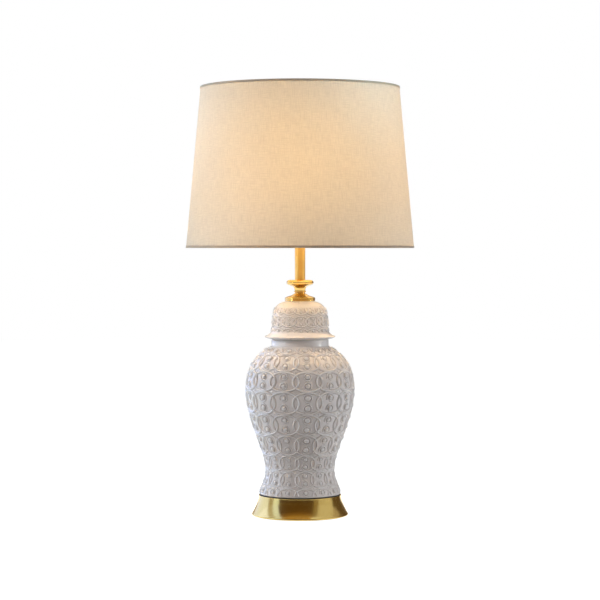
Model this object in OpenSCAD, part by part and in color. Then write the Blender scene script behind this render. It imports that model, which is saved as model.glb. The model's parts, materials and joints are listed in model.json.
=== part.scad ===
// Porcelain temple-jar table lamp with a spun brass foot, a brass stem, a harp and a linen drum shade.
// Millimetres. The lamp stands on z = 0 and its axis is the z axis. The lead leaves at the back, +y.

/* [Brass foot] */
// Height of the spun foot
foot_h = 30.8; // [28:0.2:45]
// Radius of the foot's top edge
foot_top_r = 63.5; // [63:0.1:70]
// Radius of the foot at its widest, near the table
foot_bottom_r = 74.3; // [70:0.1:90]
// Thickness of the spun brass sheet
foot_wall = 1.2; // [0.8:0.1:2]
// Gap between the foot's bottom edge and the table
foot_lift = 1; // [0.5:0.1:1.5]
// Thickness of the felt under the foot
felt_t = 2; // [1.6:0.1:3]
// Thickness of the steel cover plate above the felt
cover_t = 1.5; // [1.2:0.1:2.5]
// Radius of the cast-iron ballast disc
ballast_r = 52; // [46:1:56]
// Thickness of the ballast disc
ballast_t = 11; // [6:0.5:12]
// Radius of the circle that the three cover screws lie on
screw_circle_r = 42; // [34:1:44]
// Bore radius of the bushing that the lead passes through
lead_bore_r = 3.1; // [2.5:0.1:3.6]

/* [Lamp pipe] */
// Outer radius of the threaded pipe that clamps the lamp together
pipe_r = 4.8; // [4:0.1:5]
// Bore radius of that pipe
pipe_bore_r = 3.2; // [2.4:0.1:3.4]
// Width across flats of the hexagon nut
nut_flats = 17; // [15:1:20]
// Height of the hexagon nut
nut_h = 5; // [3:0.5:6]
// Length of pipe that shows below the nut
pipe_tail = 3; // [1:0.5:4]

/* [Porcelain jar] */
// Height of the jar without its lid
jar_h = 237; // [200:1:280]
// Radius of the jar where it stands on the foot
jar_foot_r = 62.7; // [58:0.1:63.4]
// Radius of the waist
jar_waist_r = 52.3; // [45:0.1:56]
// Height of the waist above the jar's bottom
jar_waist_h = 37; // [28:1:50]
// Radius of the belly
jar_belly_r = 82.5; // [70:0.5:95]
// Height of the belly above the jar's bottom
jar_belly_h = 160; // [130:1:175]
// Radius of the neck
jar_neck_r = 44; // [42:0.5:48]
// Height of the straight neck
jar_neck_h = 9; // [6:0.5:14]
// Thickness of the jar's wall
jar_wall = 5.5; // [4:0.5:6]
// Thickness of the jar's floor
jar_floor = 7; // [5:0.5:10]
// Thickness of the rubber gasket under the jar
gasket_t = 1.2; // [0.8:0.1:2]

/* [Porcelain lid] */
// Height of the lid above the jar's rim seal
lid_h = 57.3; // [45:0.1:75]
// Radius of the flat top under the brass cap
lid_top_r = 24; // [20:0.5:28]
// Radius of the dome at its foot
lid_dome_r = 43.6; // [40:0.1:47]
// Radius of the flared rim
lid_rim_r = 54.2; // [51:0.1:60]
// Thickness of the lid's wall
lid_wall = 4.5; // [3:0.5:6]
// Depth of the locating ring inside the neck
lid_spigot_h = 9; // [5:0.5:14]
// Thickness of the seal between lid and jar
seal_t = 1; // [0.6:0.1:2]

/* [Brass stem] */
// Radius of the brass cap on the lid
cap_r = 23.2; // [20:0.1:26]
// Height of that cap
cap_h = 11.7; // [9:0.1:16]
// Thickness of the washer under the cap
cap_washer_t = 1; // [0.6:0.1:1.5]
// Height of the beaded spacer above the cap
spacer_h = 4.3; // [3:0.1:7]
// Radius of the check ring
ring_r = 20.7; // [17:0.1:24]
// Height of the check ring with its cup
ring_h = 16.2; // [12:0.1:22]
// Outer radius of the stem tube
stem_r = 8; // [7:0.5:9]
// Wall of the stem tube
stem_wall = 1.4; // [0.8:0.1:1.8]
// Length of the stem tube
stem_h = 56.4; // [40:0.1:90]

/* [Harp] */
// Height of the harp from its saddle to the shade's seat
harp_h = 216; // [203:1:229]
// Distance between the centre lines of the harp's legs at the saddle
harp_leg_gap = 57.4; // [54:0.2:64]
// Widest distance between the centre lines of the harp's legs
harp_width = 116; // [104:1:130]
// Radius of the harp's wire
harp_wire_r = 2; // [1.5:0.1:2]
// Thickness of the saddle's steel strip
saddle_t = 1.5; // [1:0.1:2]
// Height of a ferrule
ferrule_h = 14; // [10:0.5:16]
// Length of the stud that the finial screws onto
stud_h = 12; // [9:0.5:13]
// Radius of that stud
stud_r = 3.17; // [3:0.01:3.2]

/* [Lampholder] */
// Radius of the lampholder's shell
shell_r = 16.9; // [16.2:0.1:18.5]
// Height of the lampholder from the saddle to the top of its shell
holder_h = 60; // [56:1:66]
// Height of the switch shaft above the saddle
switch_h = 26; // [24:0.5:30]
// Distance from the lamp's axis to the outer end of the switch knob
knob_reach = 42; // [38:0.5:48]
// Radius of the switch knob
knob_r = 5.5; // [4.5:0.5:7]

/* [Bulb] */
// Radius of the bulb
bulb_r = 30; // [27:0.5:31]
// Length of the bulb with its cap
bulb_h = 108.5; // [100:0.5:115]
// Radius of the bulb's screw cap
bulb_cap_r = 13; // [12.5:0.1:13.1]

/* [Shade] */
// Height of the shade
shade_h = 246.4; // [220:0.2:255]
// Radius of the shade at the bottom, over its hem
shade_bottom_r = 175; // [150:1:200]
// Radius of the shade at the top, over its hem
shade_top_r = 152.5; // [130:0.5:165]
// Depth of the spider's washer below the shade's top edge
shade_drop = 20; // [12:1:25]
// Thickness of the linen
cloth_t = 0.6; // [0.5:0.1:1]
// Thickness of the stiff liner behind the linen
liner_t = 0.4; // [0.3:0.1:0.6]
// Thickness of the folded hem tape
hem_t = 0.45; // [0.3:0.05:0.7]
// Height of the hem tape on the outside
hem_h = 3.4; // [2.5:0.1:6]
// Radius of the shade's steel wire
shade_wire_r = 1.25; // [1:0.05:1.5]
// Height of the finial
finial_h = 17; // [15:0.5:24]

/* [Hidden] */
$fn = 96;

// Clearances
slip = 0.2;        // radial, a part threaded over the pipe
thread_fit = 0.06; // radial, a nut or cap screwed on the pipe or stud
glue_gap = 0.1;    // between laminated layers
seat_gap = 0.3;    // between loose round parts
past = 1;          // length by which a cutter runs past a face

// Heights, stacked from the table up
foot_top_z = foot_lift + foot_h;
flange_z = foot_top_z - foot_wall;
cover_z = felt_t;
cover_top_z = cover_z + cover_t;
ballast_z = flange_z - ballast_t;
washer_t = 2;
nut_z = ballast_z - washer_t - nut_h;
pipe_bottom_z = nut_z - pipe_tail;
jar_z = foot_top_z + gasket_t;
jar_top_z = jar_z + jar_h;
lid_z = jar_top_z + seal_t;
lid_top_z = lid_z + lid_h;
cap_z = lid_top_z + cap_washer_t;
spacer_z = cap_z + cap_h;
ring_z = spacer_z + spacer_h;
stem_z = ring_z + ring_h;
collar_t = 1.6;
collar_z = stem_z + stem_h;
saddle_z = collar_z + collar_t;
saddle_top_z = saddle_z + saddle_t;
harp_seat_z = saddle_top_z + harp_h;
spider_t = 1.5;
shade_top_z = harp_seat_z + shade_drop;
shade_z = shade_top_z - shade_h;

// Other derived sizes
pipe_hole_r = pipe_r + slip;
hub_h = 6; // threaded hub of the lampholder's cap
pipe_top_z = saddle_top_z + hub_h;
stem_spigot_r = stem_r - stem_wall - glue_gap; // centres the stem tube
stem_spigot_h = 2.5;
post_r = 5;
screw_r = 1.5;
screw_head_r = 3;
screw_length = 9;
bushing_r = lead_bore_r + 1.5;
lead_z = cover_top_z + bushing_r + 1.5;
leg_x = harp_leg_gap / 2;
tab_x = leg_x + harp_wire_r + 0.4; // inner face of the saddle's upturned tab
tab_w = 5;
tab_h = 12;
saddle_w = 12;
harp_boss_r = 6;
harp_boss_h = 15;
harp_shoulder_r = 10;
harp_shoulder_t = 2;
ferrule_x = leg_x + 1.3;
ferrule_r = 5;
ferrule_wall = 1;
shell_t = 0.7;
sleeve_t = 0.6;
core_r = shell_r - shell_t - sleeve_t - 0.4;
switch_z = saddle_top_z + switch_h;
cap_cone_r = 9;   // inner radius of the lampholder cap where its cone starts
cap_cone_h = 4.4; // height of that cone
core_slope = (core_r - cap_cone_r) / (shell_r + thread_fit - cap_cone_r);
core_z = saddle_top_z + hub_h + 1 + cap_cone_h * core_slope + seat_gap;
core_top_h = 37;  // top of the moulded core above the saddle
core_top_z = saddle_top_z + core_top_h;
holder_top_z = saddle_top_z + holder_h;
bulb_z = core_top_z + 3; // underside of the bulb's contact
bulb_neck_z = bulb_z + 25;
bulb_centre_z = bulb_z + bulb_h - bulb_r;

// Points of a cubic curve from a to d, with handles b and c, and n steps
function bezier(a, b, c, d, n) = [
  for (i = [0:n]) let (t = i / n)
    pow(1 - t, 3) * a + 3 * pow(1 - t, 2) * t * b + 3 * (1 - t) * t * t * c + t * t * t * d
];
// Points of an arc about c from angle a to angle b
function arc(c, r, a, b, n) = [for (i = [0:n]) let (q = a + (b - a) * i / n) c + r * [cos(q), sin(q)]];
function tail(list) = [for (i = [1:len(list) - 1]) list[i]];
function reversed(list) = [for (i = [len(list) - 1:-1:0]) list[i]];

module revolve(outline) { rotate_extrude() polygon(outline); }
module tube(r, bore, h) { difference() { cylinder(r = r, h = h); bore_cut(bore, h); } }
module bore_cut(r, h) { translate([0, 0, -past]) cylinder(r = r, h = h + 2 * past); }
// A round rod between two points in the plane y = 0
module rod(a, b, r) {
  d = b - a;
  translate([a[0], 0, a[1]]) rotate([0, atan2(d[0], d[1]), 0]) cylinder(r = r, h = norm(d));
}
// A round bar along -y, from distance a to distance b, at height z
module bar_y(a, b, z, r) { translate([0, -a, z]) rotate([90, 0, 0]) cylinder(r = r, h = b - a); }

// Brass foot and what it hides

// Outline of the foot's flared side, from the top edge down, set in by some distance
function foot_side(inset) = let (
  flare = foot_bottom_r - foot_top_r,
  top = [foot_top_r - inset, foot_top_z],
  bottom = [foot_bottom_r - 0.3 - inset, foot_lift + 2]
) bezier(top, top + [-0.05 * flare, -0.22 * foot_h], bottom + [-0.32 * flare, 0.18 * foot_h], bottom, 14);

module brass_foot() {
  inner_top = [foot_top_r - foot_wall, flange_z];
  inner_side = [for (p = tail(foot_side(foot_wall))) if (p[1] < flange_z) p];
  color("goldenrod") difference() {
    revolve(concat(
      [[pipe_hole_r, foot_top_z]],
      [for (p = foot_side(0)) p],
      [[foot_bottom_r, foot_lift + 1.1], [foot_bottom_r - 0.5, foot_lift],
       [foot_bottom_r - foot_wall, foot_lift]],
      reversed(inner_side),
      [inner_top, [pipe_hole_r, flange_z]]
    ));
    translate([0, foot_bottom_r + past, lead_z]) rotate([90, 0, 0])
      cylinder(r = bushing_r + glue_gap, h = foot_bottom_r - ballast_r);
  }
}

module foot_solid(grow) {
  revolve(concat([[0, foot_top_z]], foot_side(-grow), [[foot_bottom_r, 0], [0, 0]]));
}

module cord_bushing() {
  lip_y = foot_top_r - 0.5;
  color("dimgray") difference() {
    union() {
      translate([0, foot_bottom_r, lead_z]) rotate([90, 0, 0])
        cylinder(r = bushing_r, h = foot_bottom_r - lip_y + 2);
      translate([0, lip_y, lead_z]) rotate([90, 0, 0]) cylinder(r = bushing_r + 1, h = 2);
      difference() {
        translate([0, foot_bottom_r, lead_z]) rotate([90, 0, 0]) cylinder(r = bushing_r + 1.8, h = 10);
        foot_solid(glue_gap);
      }
    }
    translate([0, foot_bottom_r + past, lead_z]) rotate([90, 0, 0])
      cylinder(r = lead_bore_r, h = foot_bottom_r - lip_y + 2 + 2 * past);
  }
}

function cover_r() = foot_bottom_r - foot_wall - 1.5;

module at_posts() { for (q = [30, 150, 270]) rotate(q) translate([screw_circle_r, 0, 0]) children(); }

module felt_pad() { color("darkslategray") cylinder(r = cover_r() - 1, h = felt_t); }

// Countersunk screw shape, from the cover's underside up
module screw_shape(grow, length) {
  translate([0, 0, cover_z]) rotate_extrude() polygon([
    [0, 0], [screw_head_r + grow, 0], [screw_r + grow, cover_t], [screw_r + grow, length], [0, length]
  ]);
}

module bottom_cover() {
  color("black") difference() {
    translate([0, 0, cover_z]) cylinder(r = cover_r(), h = cover_t);
    at_posts() screw_shape(glue_gap, cover_t + past);
  }
}

module cover_screws() { color("silver") at_posts() screw_shape(0, screw_length); }

module ballast_weight() {
  color("gray") difference() {
    union() {
      translate([0, 0, ballast_z]) cylinder(r = ballast_r, h = ballast_t);
      at_posts() translate([0, 0, cover_top_z]) cylinder(r = post_r, h = ballast_z - cover_top_z + past);
    }
    translate([0, 0, ballast_z]) bore_cut(pipe_hole_r, ballast_t);
    at_posts() translate([0, 0, cover_top_z - past]) cylinder(r = screw_r + glue_gap, h = screw_length);
  }
}

module bottom_nut() {
  color("silver") translate([0, 0, nut_z]) difference() {
    cylinder(r = nut_flats / sqrt(3), h = nut_h, $fn = 6);
    bore_cut(pipe_r + thread_fit, nut_h);
  }
}

module bottom_washer() {
  color("silver") translate([0, 0, nut_z + nut_h]) tube(nut_flats * 0.7, pipe_hole_r, washer_t);
}

module lamp_pipe() {
  color("silver") translate([0, 0, pipe_bottom_z]) tube(pipe_r, pipe_bore_r, pipe_top_z - pipe_bottom_z);
}

module foot_gasket() {
  color("black") translate([0, 0, foot_top_z]) tube(jar_foot_r - 0.4, jar_foot_r - 16, gasket_t);
}

// Porcelain

jar_hole_r = 7.5;
// Outline of the jar's side from its bottom edge up to its rim
function jar_side() = let (
  foot = [jar_foot_r, jar_z + 1.5],
  waist = [jar_waist_r, jar_z + jar_waist_h],
  belly = [jar_belly_r, jar_z + jar_belly_h],
  neck = [jar_neck_r, jar_top_z - jar_neck_h],
  low = waist[1] - foot[1],
  rise = belly[1] - waist[1],
  fall = neck[1] - belly[1],
  flare = foot[0] - waist[0],
  shoulder = belly[0] - neck[0]
) concat(
  bezier(foot, foot + [-0.33 * flare, 0.36 * low], waist - [0, 0.39 * low], waist, 10),
  tail(bezier(waist, waist + [0, 0.25 * rise], belly - [0, 0.375 * rise], belly, 16)),
  tail(bezier(belly, belly + [0, 0.53 * fall], neck + [0.66 * shoulder, -0.23 * fall], neck, 16))
);

module jar() {
  side = jar_side();
  floor_z = jar_z + jar_floor;
  cavity = [for (p = side) if (p[1] > floor_z) [p[0] - jar_wall, p[1]]];
  rim = 1.2;
  color("ghostwhite") revolve(concat(
    [[jar_hole_r, jar_z + 2], [jar_foot_r - 18, jar_z + 2], [jar_foot_r - 17, jar_z],
     [jar_foot_r - 1.5, jar_z]],
    side,
    arc([jar_neck_r - rim, jar_top_z - rim], rim, 0, 90, 4),
    arc([jar_neck_r - jar_wall + rim, jar_top_z - rim], rim, 90, 180, 4),
    reversed(cavity),
    [[cavity[0][0], floor_z], [jar_hole_r, floor_z]]
  ));
}

// Nylon bush that centres a porcelain hole of radius r on the pipe, with its flange on top
module bush(r, depth, flange_r) {
  difference() {
    union() {
      cylinder(r = r - seat_gap, h = depth);
      translate([0, 0, depth]) cylinder(r = flange_r, h = 1.5);
    }
    bore_cut(pipe_hole_r, depth + 1.5);
  }
}

module floor_bush() { color("white") translate([0, 0, jar_z + 2]) bush(jar_hole_r, jar_floor - 2, 12); }

module lid_seal() {
  color("white") translate([0, 0, jar_top_z]) tube(jar_neck_r - 1.3, jar_neck_r - jar_wall + 1.3, seal_t);
}

lid_hole_r = 7.5;
module lid() {
  dome_h = 0.755 * lid_h;
  spread = lid_dome_r - lid_top_r;
  top = [lid_top_r, lid_top_z];
  foot = [lid_dome_r, lid_top_z - dome_h];
  top_handle = top + [0.89 * spread, -0.105 * dome_h];
  foot_handle = foot + [-0.11 * spread, 0.66 * dome_h];
  rim_h = 0.065 * lid_h; // height of the rim's edge above the seal
  rim = [lid_rim_r - 0.9, lid_z + rim_h];
  flare = lid_rim_r - lid_dome_r;
  spigot_r = jar_neck_r - jar_wall - 1;
  wall = [lid_wall, lid_wall];
  inner_top = top - [3, lid_wall];
  inner_foot = foot - [lid_wall, 0];
  color("ghostwhite") revolve(concat(
    [[lid_hole_r, lid_top_z]],
    bezier(top, top_handle, foot_handle, foot, 14),
    tail(bezier(foot, foot + [0.05 * flare, -0.3 * rim_h - 3], rim + [-0.5 * flare, 2.6], rim + [0, 0.9], 8)),
    arc(rim, 0.9, 60, -60, 4),
    [[lid_rim_r - 0.4 * flare, lid_z + 0.25 * rim_h], [jar_neck_r, lid_z], [spigot_r, lid_z],
     [spigot_r, lid_z - lid_spigot_h], [spigot_r - lid_wall, lid_z - lid_spigot_h],
     [spigot_r - lid_wall, lid_z + 2]],
    reversed(bezier(inner_top, top_handle - wall, foot_handle - wall, inner_foot, 12)),
    [[lid_hole_r, lid_top_z - lid_wall]]
  ));
}

module lid_bush() {
  color("white") translate([0, 0, lid_top_z]) mirror([0, 0, 1]) bush(lid_hole_r, lid_wall, 12);
}

// Brass stem

module cap_washer() {
  color("whitesmoke") translate([0, 0, lid_top_z]) tube(cap_r - 0.6, cap_r - 6, cap_washer_t);
}

module vase_cap() {
  band = 0.46 * cap_h; // height of the upright edge
  neck_r = stem_r + 0.9;
  color("goldenrod") translate([0, 0, cap_z]) revolve(concat(
    [[cap_r - 5, 0], [cap_r - 0.4, 0], [cap_r, 0.5], [cap_r, band - 0.5], [cap_r - 0.6, band]],
    tail(bezier([cap_r - 0.6, band], [cap_r - 5, band + 2.4], [neck_r + 3.6, band + 2.2],
                [neck_r, cap_h], 8)),
    [[pipe_hole_r, cap_h], [pipe_hole_r, band], [cap_r - 5, band - 2.2]]
  ));
}

module neck_spacer() {
  groove_r = stem_r - 0.4;
  bead_r = stem_r + 1.3;
  color("goldenrod") translate([0, 0, spacer_z]) revolve(concat(
    [[pipe_hole_r, 0], [groove_r, 0], [groove_r, 0.25 * spacer_h]],
    arc([bead_r - 0.3 * spacer_h, 0.62 * spacer_h], 0.3 * spacer_h, -70, 70, 6),
    [[groove_r, spacer_h], [pipe_hole_r, spacer_h]]
  ));
}

module check_ring() {
  cup_h = 0.37 * ring_h;
  wheel_h = 0.59 * ring_h;
  edge = [ring_r - 0.36 * wheel_h, ring_h - 0.4 * wheel_h];
  color("goldenrod") translate([0, 0, ring_z]) revolve(concat(
    [[pipe_hole_r, 0]],
    bezier([stem_r + 0.2, 0], [stem_r + 0.4, 0.4 * cup_h], [stem_r + 1.2, 0.8 * cup_h],
           [stem_r + 2.6, cup_h], 5),
    [[ring_r - 4.5, ring_h - 0.84 * wheel_h]],
    arc(edge, 0.36 * wheel_h, -60, 68, 8),
    [[ring_r - 3.4, ring_h], [stem_spigot_r, ring_h], [stem_spigot_r, ring_h + stem_spigot_h],
     [pipe_hole_r, ring_h + stem_spigot_h]]
  ));
}

module stem_tube() { color("goldenrod") translate([0, 0, stem_z]) tube(stem_r, stem_r - stem_wall, stem_h); }

module stem_collar() {
  color("goldenrod") translate([0, 0, collar_z]) revolve([
    [pipe_hole_r, -stem_spigot_h], [stem_spigot_r, -stem_spigot_h], [stem_spigot_r, 0],
    [stem_r + 1.4, 0], [stem_r + 1.4, collar_t - 0.6], [stem_r + 0.6, collar_t],
    [pipe_hole_r, collar_t]
  ]);
}

// Harp

module harp_saddle() {
  half = tab_x + saddle_t;
  color("goldenrod") translate([0, 0, saddle_z]) difference() {
    union() {
      translate([-half, -saddle_w / 2, 0]) cube([2 * half, saddle_w, saddle_t]);
      for (side = [-1, 1]) translate([side * (tab_x + saddle_t / 2) - saddle_t / 2, -tab_w / 2, 0])
        cube([saddle_t, tab_w, saddle_t + tab_h]);
    }
    bore_cut(pipe_hole_r, saddle_t);
  }
}

// A piece of wire from point a to point b in the plane y = 0, longer at its ends by a short overlap
module straight(a, b) {
  u = (b - a) / norm(b - a);
  rod(a - 0.4 * u, b + 0.4 * u, harp_wire_r);
}
// The bend at corner b of the wire that comes from a and goes on to c, where the wire thins a little
module bend(a, b, c, r) {
  u = (a - b) / norm(a - b);
  v = (c - b) / norm(c - b);
  half_turn = 90 - acos(u * v) / 2;
  centre = b + r / cos(half_turn) * (u + v) / norm(u + v);
  left = u[0] * v[1] - u[1] * v[0] < 0;
  first = b + r * tan(half_turn) * (left ? u : v) - centre;
  translate([centre[0], 0, centre[1]]) rotate([90, -atan2(first[1], first[0]), 0])
    rotate_extrude(angle = 2 * half_turn) translate([r, 0]) circle(r = harp_wire_r - 0.03, $fn = 24);
}
// Length of wire that a bend takes up before and after its corner
function bend_run(a, b, c, r) = r / tan(acos((a - b) * (c - b) / norm(a - b) / norm(c - b)) / 2);

module harp() {
  half_w = harp_width / 2;
  boss_z = harp_seat_z - harp_shoulder_t - harp_boss_h;
  corners = [
    [leg_x, saddle_top_z], [leg_x, saddle_top_z + 0.256 * harp_h],
    [half_w, saddle_top_z + 0.435 * harp_h], [half_w, saddle_top_z + 0.813 * harp_h],
    [4, boss_z + 5]
  ];
  radii = [0, 0.3 * harp_h, 0.3 * harp_h, 0.23 * harp_h, 0];
  runs = [
    for (i = [0:4])
      i == 0 || i == 4 ? 0 : bend_run(corners[i - 1], corners[i], corners[i + 1], radii[i])
  ];
  color("silver") {
    for (side = [0, 1]) mirror([side, 0, 0]) {
      for (i = [1:3]) bend(corners[i - 1], corners[i], corners[i + 1], radii[i]);
      for (i = [0:3]) {
        u = (corners[i + 1] - corners[i]) / norm(corners[i + 1] - corners[i]);
        straight(corners[i] + (runs[i] + (i == 0 ? 0.4 : 0)) * u, corners[i + 1] - runs[i + 1] * u);
      }
    }
    translate([0, 0, boss_z]) cylinder(r = harp_boss_r, h = harp_boss_h);
    translate([0, 0, boss_z + harp_boss_h]) cylinder(r = harp_shoulder_r, h = harp_shoulder_t);
    translate([0, 0, harp_seat_z - 1]) cylinder(r = stud_r, h = stud_h + 1);
  }
}

// Loose ferrule that slides over a leg and the saddle's tab; side is 0 on the right and 1 on the left
module ferrule(side) {
  z = saddle_top_z + seat_gap;
  color("goldenrod") mirror([side, 0, 0]) difference() {
    translate([ferrule_x, 0, z]) cylinder(r1 = ferrule_r, r2 = ferrule_r - 0.4, h = ferrule_h);
    translate([ferrule_x, 0, z - past]) cylinder(r = ferrule_r - ferrule_wall, h = ferrule_h + 2 * past);
  }
}
module left_ferrule() { ferrule(1); }
module right_ferrule() { ferrule(0); }

// Lampholder

cap_top_h = 18;
module socket_cap() {
  outer_r = shell_r + shell_t + thread_fit;
  color("goldenrod") translate([0, 0, saddle_top_z]) difference() {
    revolve(concat(
      [[pipe_r + thread_fit, 0], [7.5, 0], [7.5, hub_h - 1]],
      bezier([8, hub_h], [13, hub_h + 0.5], [outer_r, hub_h + 1.5], [outer_r, hub_h + 5], 6),
      [[outer_r, cap_top_h], [shell_r + thread_fit, cap_top_h],
       [shell_r + thread_fit, hub_h + 1 + cap_cone_h]],
      [[cap_cone_r, hub_h + 1], [pipe_r + thread_fit, hub_h + 1]]
    ));
    translate([0, 9, 3]) rotate([90, 0, 0]) cylinder(r = 1.3, h = 9);
  }
}

module socket_set_screw() {
  color("silver") translate([0, 7.8, saddle_top_z + 3]) rotate([90, 0, 0])
    cylinder(r = 1.2, h = 7.8 - pipe_r - 0.1);
}

module socket_shell() {
  z = saddle_top_z + hub_h + 6;
  color("goldenrod") difference() {
    translate([0, 0, z]) tube(shell_r, shell_r - shell_t, holder_top_z - z);
    bar_y(0, shell_r + past, switch_z, 3.2);
  }
}

module socket_sleeve() {
  z = core_z + 2;
  bore = shell_r - shell_t - sleeve_t;
  color("burlywood") difference() {
    translate([0, 0, z]) tube(shell_r - shell_t - glue_gap, bore, holder_top_z - 1 - z);
    bar_y(0, shell_r + past, switch_z, 3.2);
  }
}

terminal_x = core_r - 2.2;
module socket_core() {
  color("black") difference() {
    translate([0, 0, core_z]) cylinder(r = core_r, h = core_top_z - core_z);
    for (side = [-1, 1]) translate([side * (terminal_x + 5) - 5, -6, core_z - past])
      cube([10, 12, 12 + past]);
    for (side = [-1, 1]) translate([side * (terminal_x - 3), 0, core_z + 6]) rotate([0, 90, 0])
      cylinder(r = 1.6, h = 8, center = true);
    bar_y(-1, core_r + past, switch_z, shaft_r + 0.05);
    bar_y(-5, 5, switch_z, cam_r + seat_gap);
  }
}

module terminal_screws() {
  color("silver") for (side = [-1, 1]) mirror([side < 0 ? 1 : 0, 0, 0])
    translate([terminal_x, 0, core_z + 6]) rotate([0, 90, 0]) {
      cylinder(r = 3.2, h = 1.6);
      translate([0, 0, -5]) cylinder(r = 1.5, h = 5);
    }
}

module screw_shell() {
  bore = bulb_cap_r + 0.25;
  color("gold") translate([0, 0, core_top_z]) difference() {
    cylinder(r = bore + 0.5, h = holder_top_z - core_top_z - 1);
    translate([0, 0, 0.6]) cylinder(r = bore, h = holder_top_z);
    bore_cut(5.5, 1);
  }
}

module centre_contact() {
  color("gold") {
    translate([-4, -2, core_top_z]) cube([8, 4, 0.5]);
    translate([0, 0, core_top_z]) cylinder(r = 2, h = bulb_z - core_top_z);
  }
}

shaft_r = 1.6;
cam_r = 4;
cam_half = 4;
module switch_cam() {
  color("tan") difference() {
    bar_y(-cam_half, cam_half, switch_z, cam_r);
    bar_y(-cam_half - past, cam_half + past, switch_z, shaft_r);
    translate([-cam_r, -cam_half - past, switch_z + 2.4]) cube([2 * cam_r, 2 * cam_half + 2 * past, cam_r]);
  }
}

module switch_shaft() { color("silver") bar_y(-cam_half, knob_reach - 4, switch_z, shaft_r); }

module switch_knob() {
  length = 13;
  ribs = 12;
  color("black") difference() {
    union() {
      bar_y(knob_reach - length, knob_reach, switch_z, knob_r - 0.5);
      bar_y(knob_reach - length, knob_reach - length + 2, switch_z, knob_r);
      for (i = [0:ribs - 1]) translate([0, 2 - knob_reach, switch_z]) rotate([0, i * 360 / ribs, 0])
        translate([-0.5, 0, 0]) cube([1, length - 3, knob_r]);
    }
    bar_y(knob_reach - length - past, knob_reach - 4, switch_z, shaft_r);
  }
}

// Bulb

glass_t = 0.9;
function globe_side(inset) = concat(
  bezier([bulb_cap_r + 1 - inset, bulb_neck_z], [bulb_cap_r + 2 - inset, bulb_neck_z + 18],
         [bulb_r - inset, bulb_centre_z - 22], [bulb_r - inset, bulb_centre_z], 12),
  tail(arc([0, bulb_centre_z], bulb_r - inset, 0, 90, 12))
);
module bulb_globe() { color("white") revolve(concat(globe_side(0), reversed(globe_side(glass_t)))); }

module bulb_screw_cap() {
  z = bulb_z + 3;
  color("silver") translate([0, 0, z]) difference() {
    union() {
      cylinder(r = bulb_cap_r, h = bulb_neck_z - z - 3);
      translate([0, 0, bulb_neck_z - z - 3]) cylinder(r1 = bulb_cap_r, r2 = bulb_cap_r + 0.8, h = 3);
    }
    bore_cut(bulb_cap_r - 0.5, bulb_neck_z - z);
  }
}

module bulb_insulator() {
  color("black") translate([0, 0, bulb_z + 0.8]) revolve([
    [0, 0], [4.5, 0], [bulb_cap_r - 2, 2.2], [bulb_cap_r - 0.6, 2.2], [bulb_cap_r - 0.6, 4], [0, 4]
  ]);
}

module bulb_tip() { color("silver") translate([0, 0, bulb_z]) cylinder(r1 = 3.2, r2 = 4, h = 0.8); }

module bulb_led_column() {
  color("whitesmoke") translate([0, 0, bulb_z + 4.8]) {
    cylinder(r = 8, h = bulb_neck_z - bulb_z);
    translate([0, 0, bulb_neck_z - bulb_z]) cylinder(r1 = 8, r2 = 6, h = 22);
  }
}

// Shade

// Radius of the shade at height z, over its hems
function shade_r(z) = shade_bottom_r + (shade_top_r - shade_bottom_r) * (z - shade_z) / shade_h;
// A thin sloping band of the shade between two heights, from depth a to depth b under its outside
module shade_band(z0, z1, a, b) {
  revolve([[shade_r(z0) - b, z0], [shade_r(z0) - a, z0], [shade_r(z1) - a, z1], [shade_r(z1) - b, z1]]);
}
cloth_depth = hem_t + 0.05;
liner_depth = cloth_depth + cloth_t + glue_gap;
wire_depth = liner_depth + liner_t + glue_gap; // outer side of the wire rings
wire_inset = hem_t + shade_wire_r + 0.2;       // wire centre below the shade's edge
top_wire_z = shade_top_z - wire_inset;
bottom_wire_z = shade_z + wire_inset;

module shade_cloth() {
  color("bisque") shade_band(shade_z + hem_t + glue_gap, shade_top_z - hem_t - glue_gap,
                             cloth_depth, cloth_depth + cloth_t);
}

module shade_liner() {
  color("white") shade_band(shade_z + hem_t + glue_gap, shade_top_z - hem_t - glue_gap,
                            liner_depth, liner_depth + liner_t);
}

// Hem tape folded over an edge and the wire behind it; up is 1 at the top edge and -1 at the bottom
module hem(edge_z, up) {
  inner = wire_depth + 2 * shade_wire_r + glue_gap;
  outer_end = edge_z - up * hem_h;
  fold = edge_z - up * hem_t;
  inner_end = edge_z - up * wire_inset;
  function at(z, depth) = [shade_r(z) - depth, z];
  color("wheat") revolve([
    at(outer_end, 0), at(edge_z, 0), at(edge_z, inner + hem_t), at(inner_end, inner + hem_t),
    at(inner_end, inner), at(fold, inner), at(fold, hem_t), at(outer_end, hem_t)
  ]);
}
module top_hem() { difference() { hem(shade_top_z, 1); spider_arms(spider_arm_r + glue_gap); } }
module bottom_hem() { hem(shade_z, -1); }

module wire_ring(z) {
  translate([0, 0, z]) rotate_extrude() translate([shade_r(z) - wire_depth - shade_wire_r, 0])
    circle(r = shade_wire_r, $fn = 24);
}

module shade_bottom_ring() { color("white") wire_ring(bottom_wire_z); }

spider_hole_r = 5.5;
spider_r = 13;
spider_arm_r = shade_wire_r - 0.15;
module spider_arms(r) {
  hub = [spider_r - 1.5, harp_seat_z + spider_t / 2];
  ring = [shade_r(top_wire_z) - wire_depth - shade_wire_r, top_wire_z];
  for (q = [90, 210, 330]) rotate(q) rod(hub, ring, r);
}

module shade_top_frame() {
  color("white") {
    wire_ring(top_wire_z);
    translate([0, 0, harp_seat_z]) tube(spider_r, spider_hole_r, spider_t);
    spider_arms(spider_arm_r);
  }
}

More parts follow.
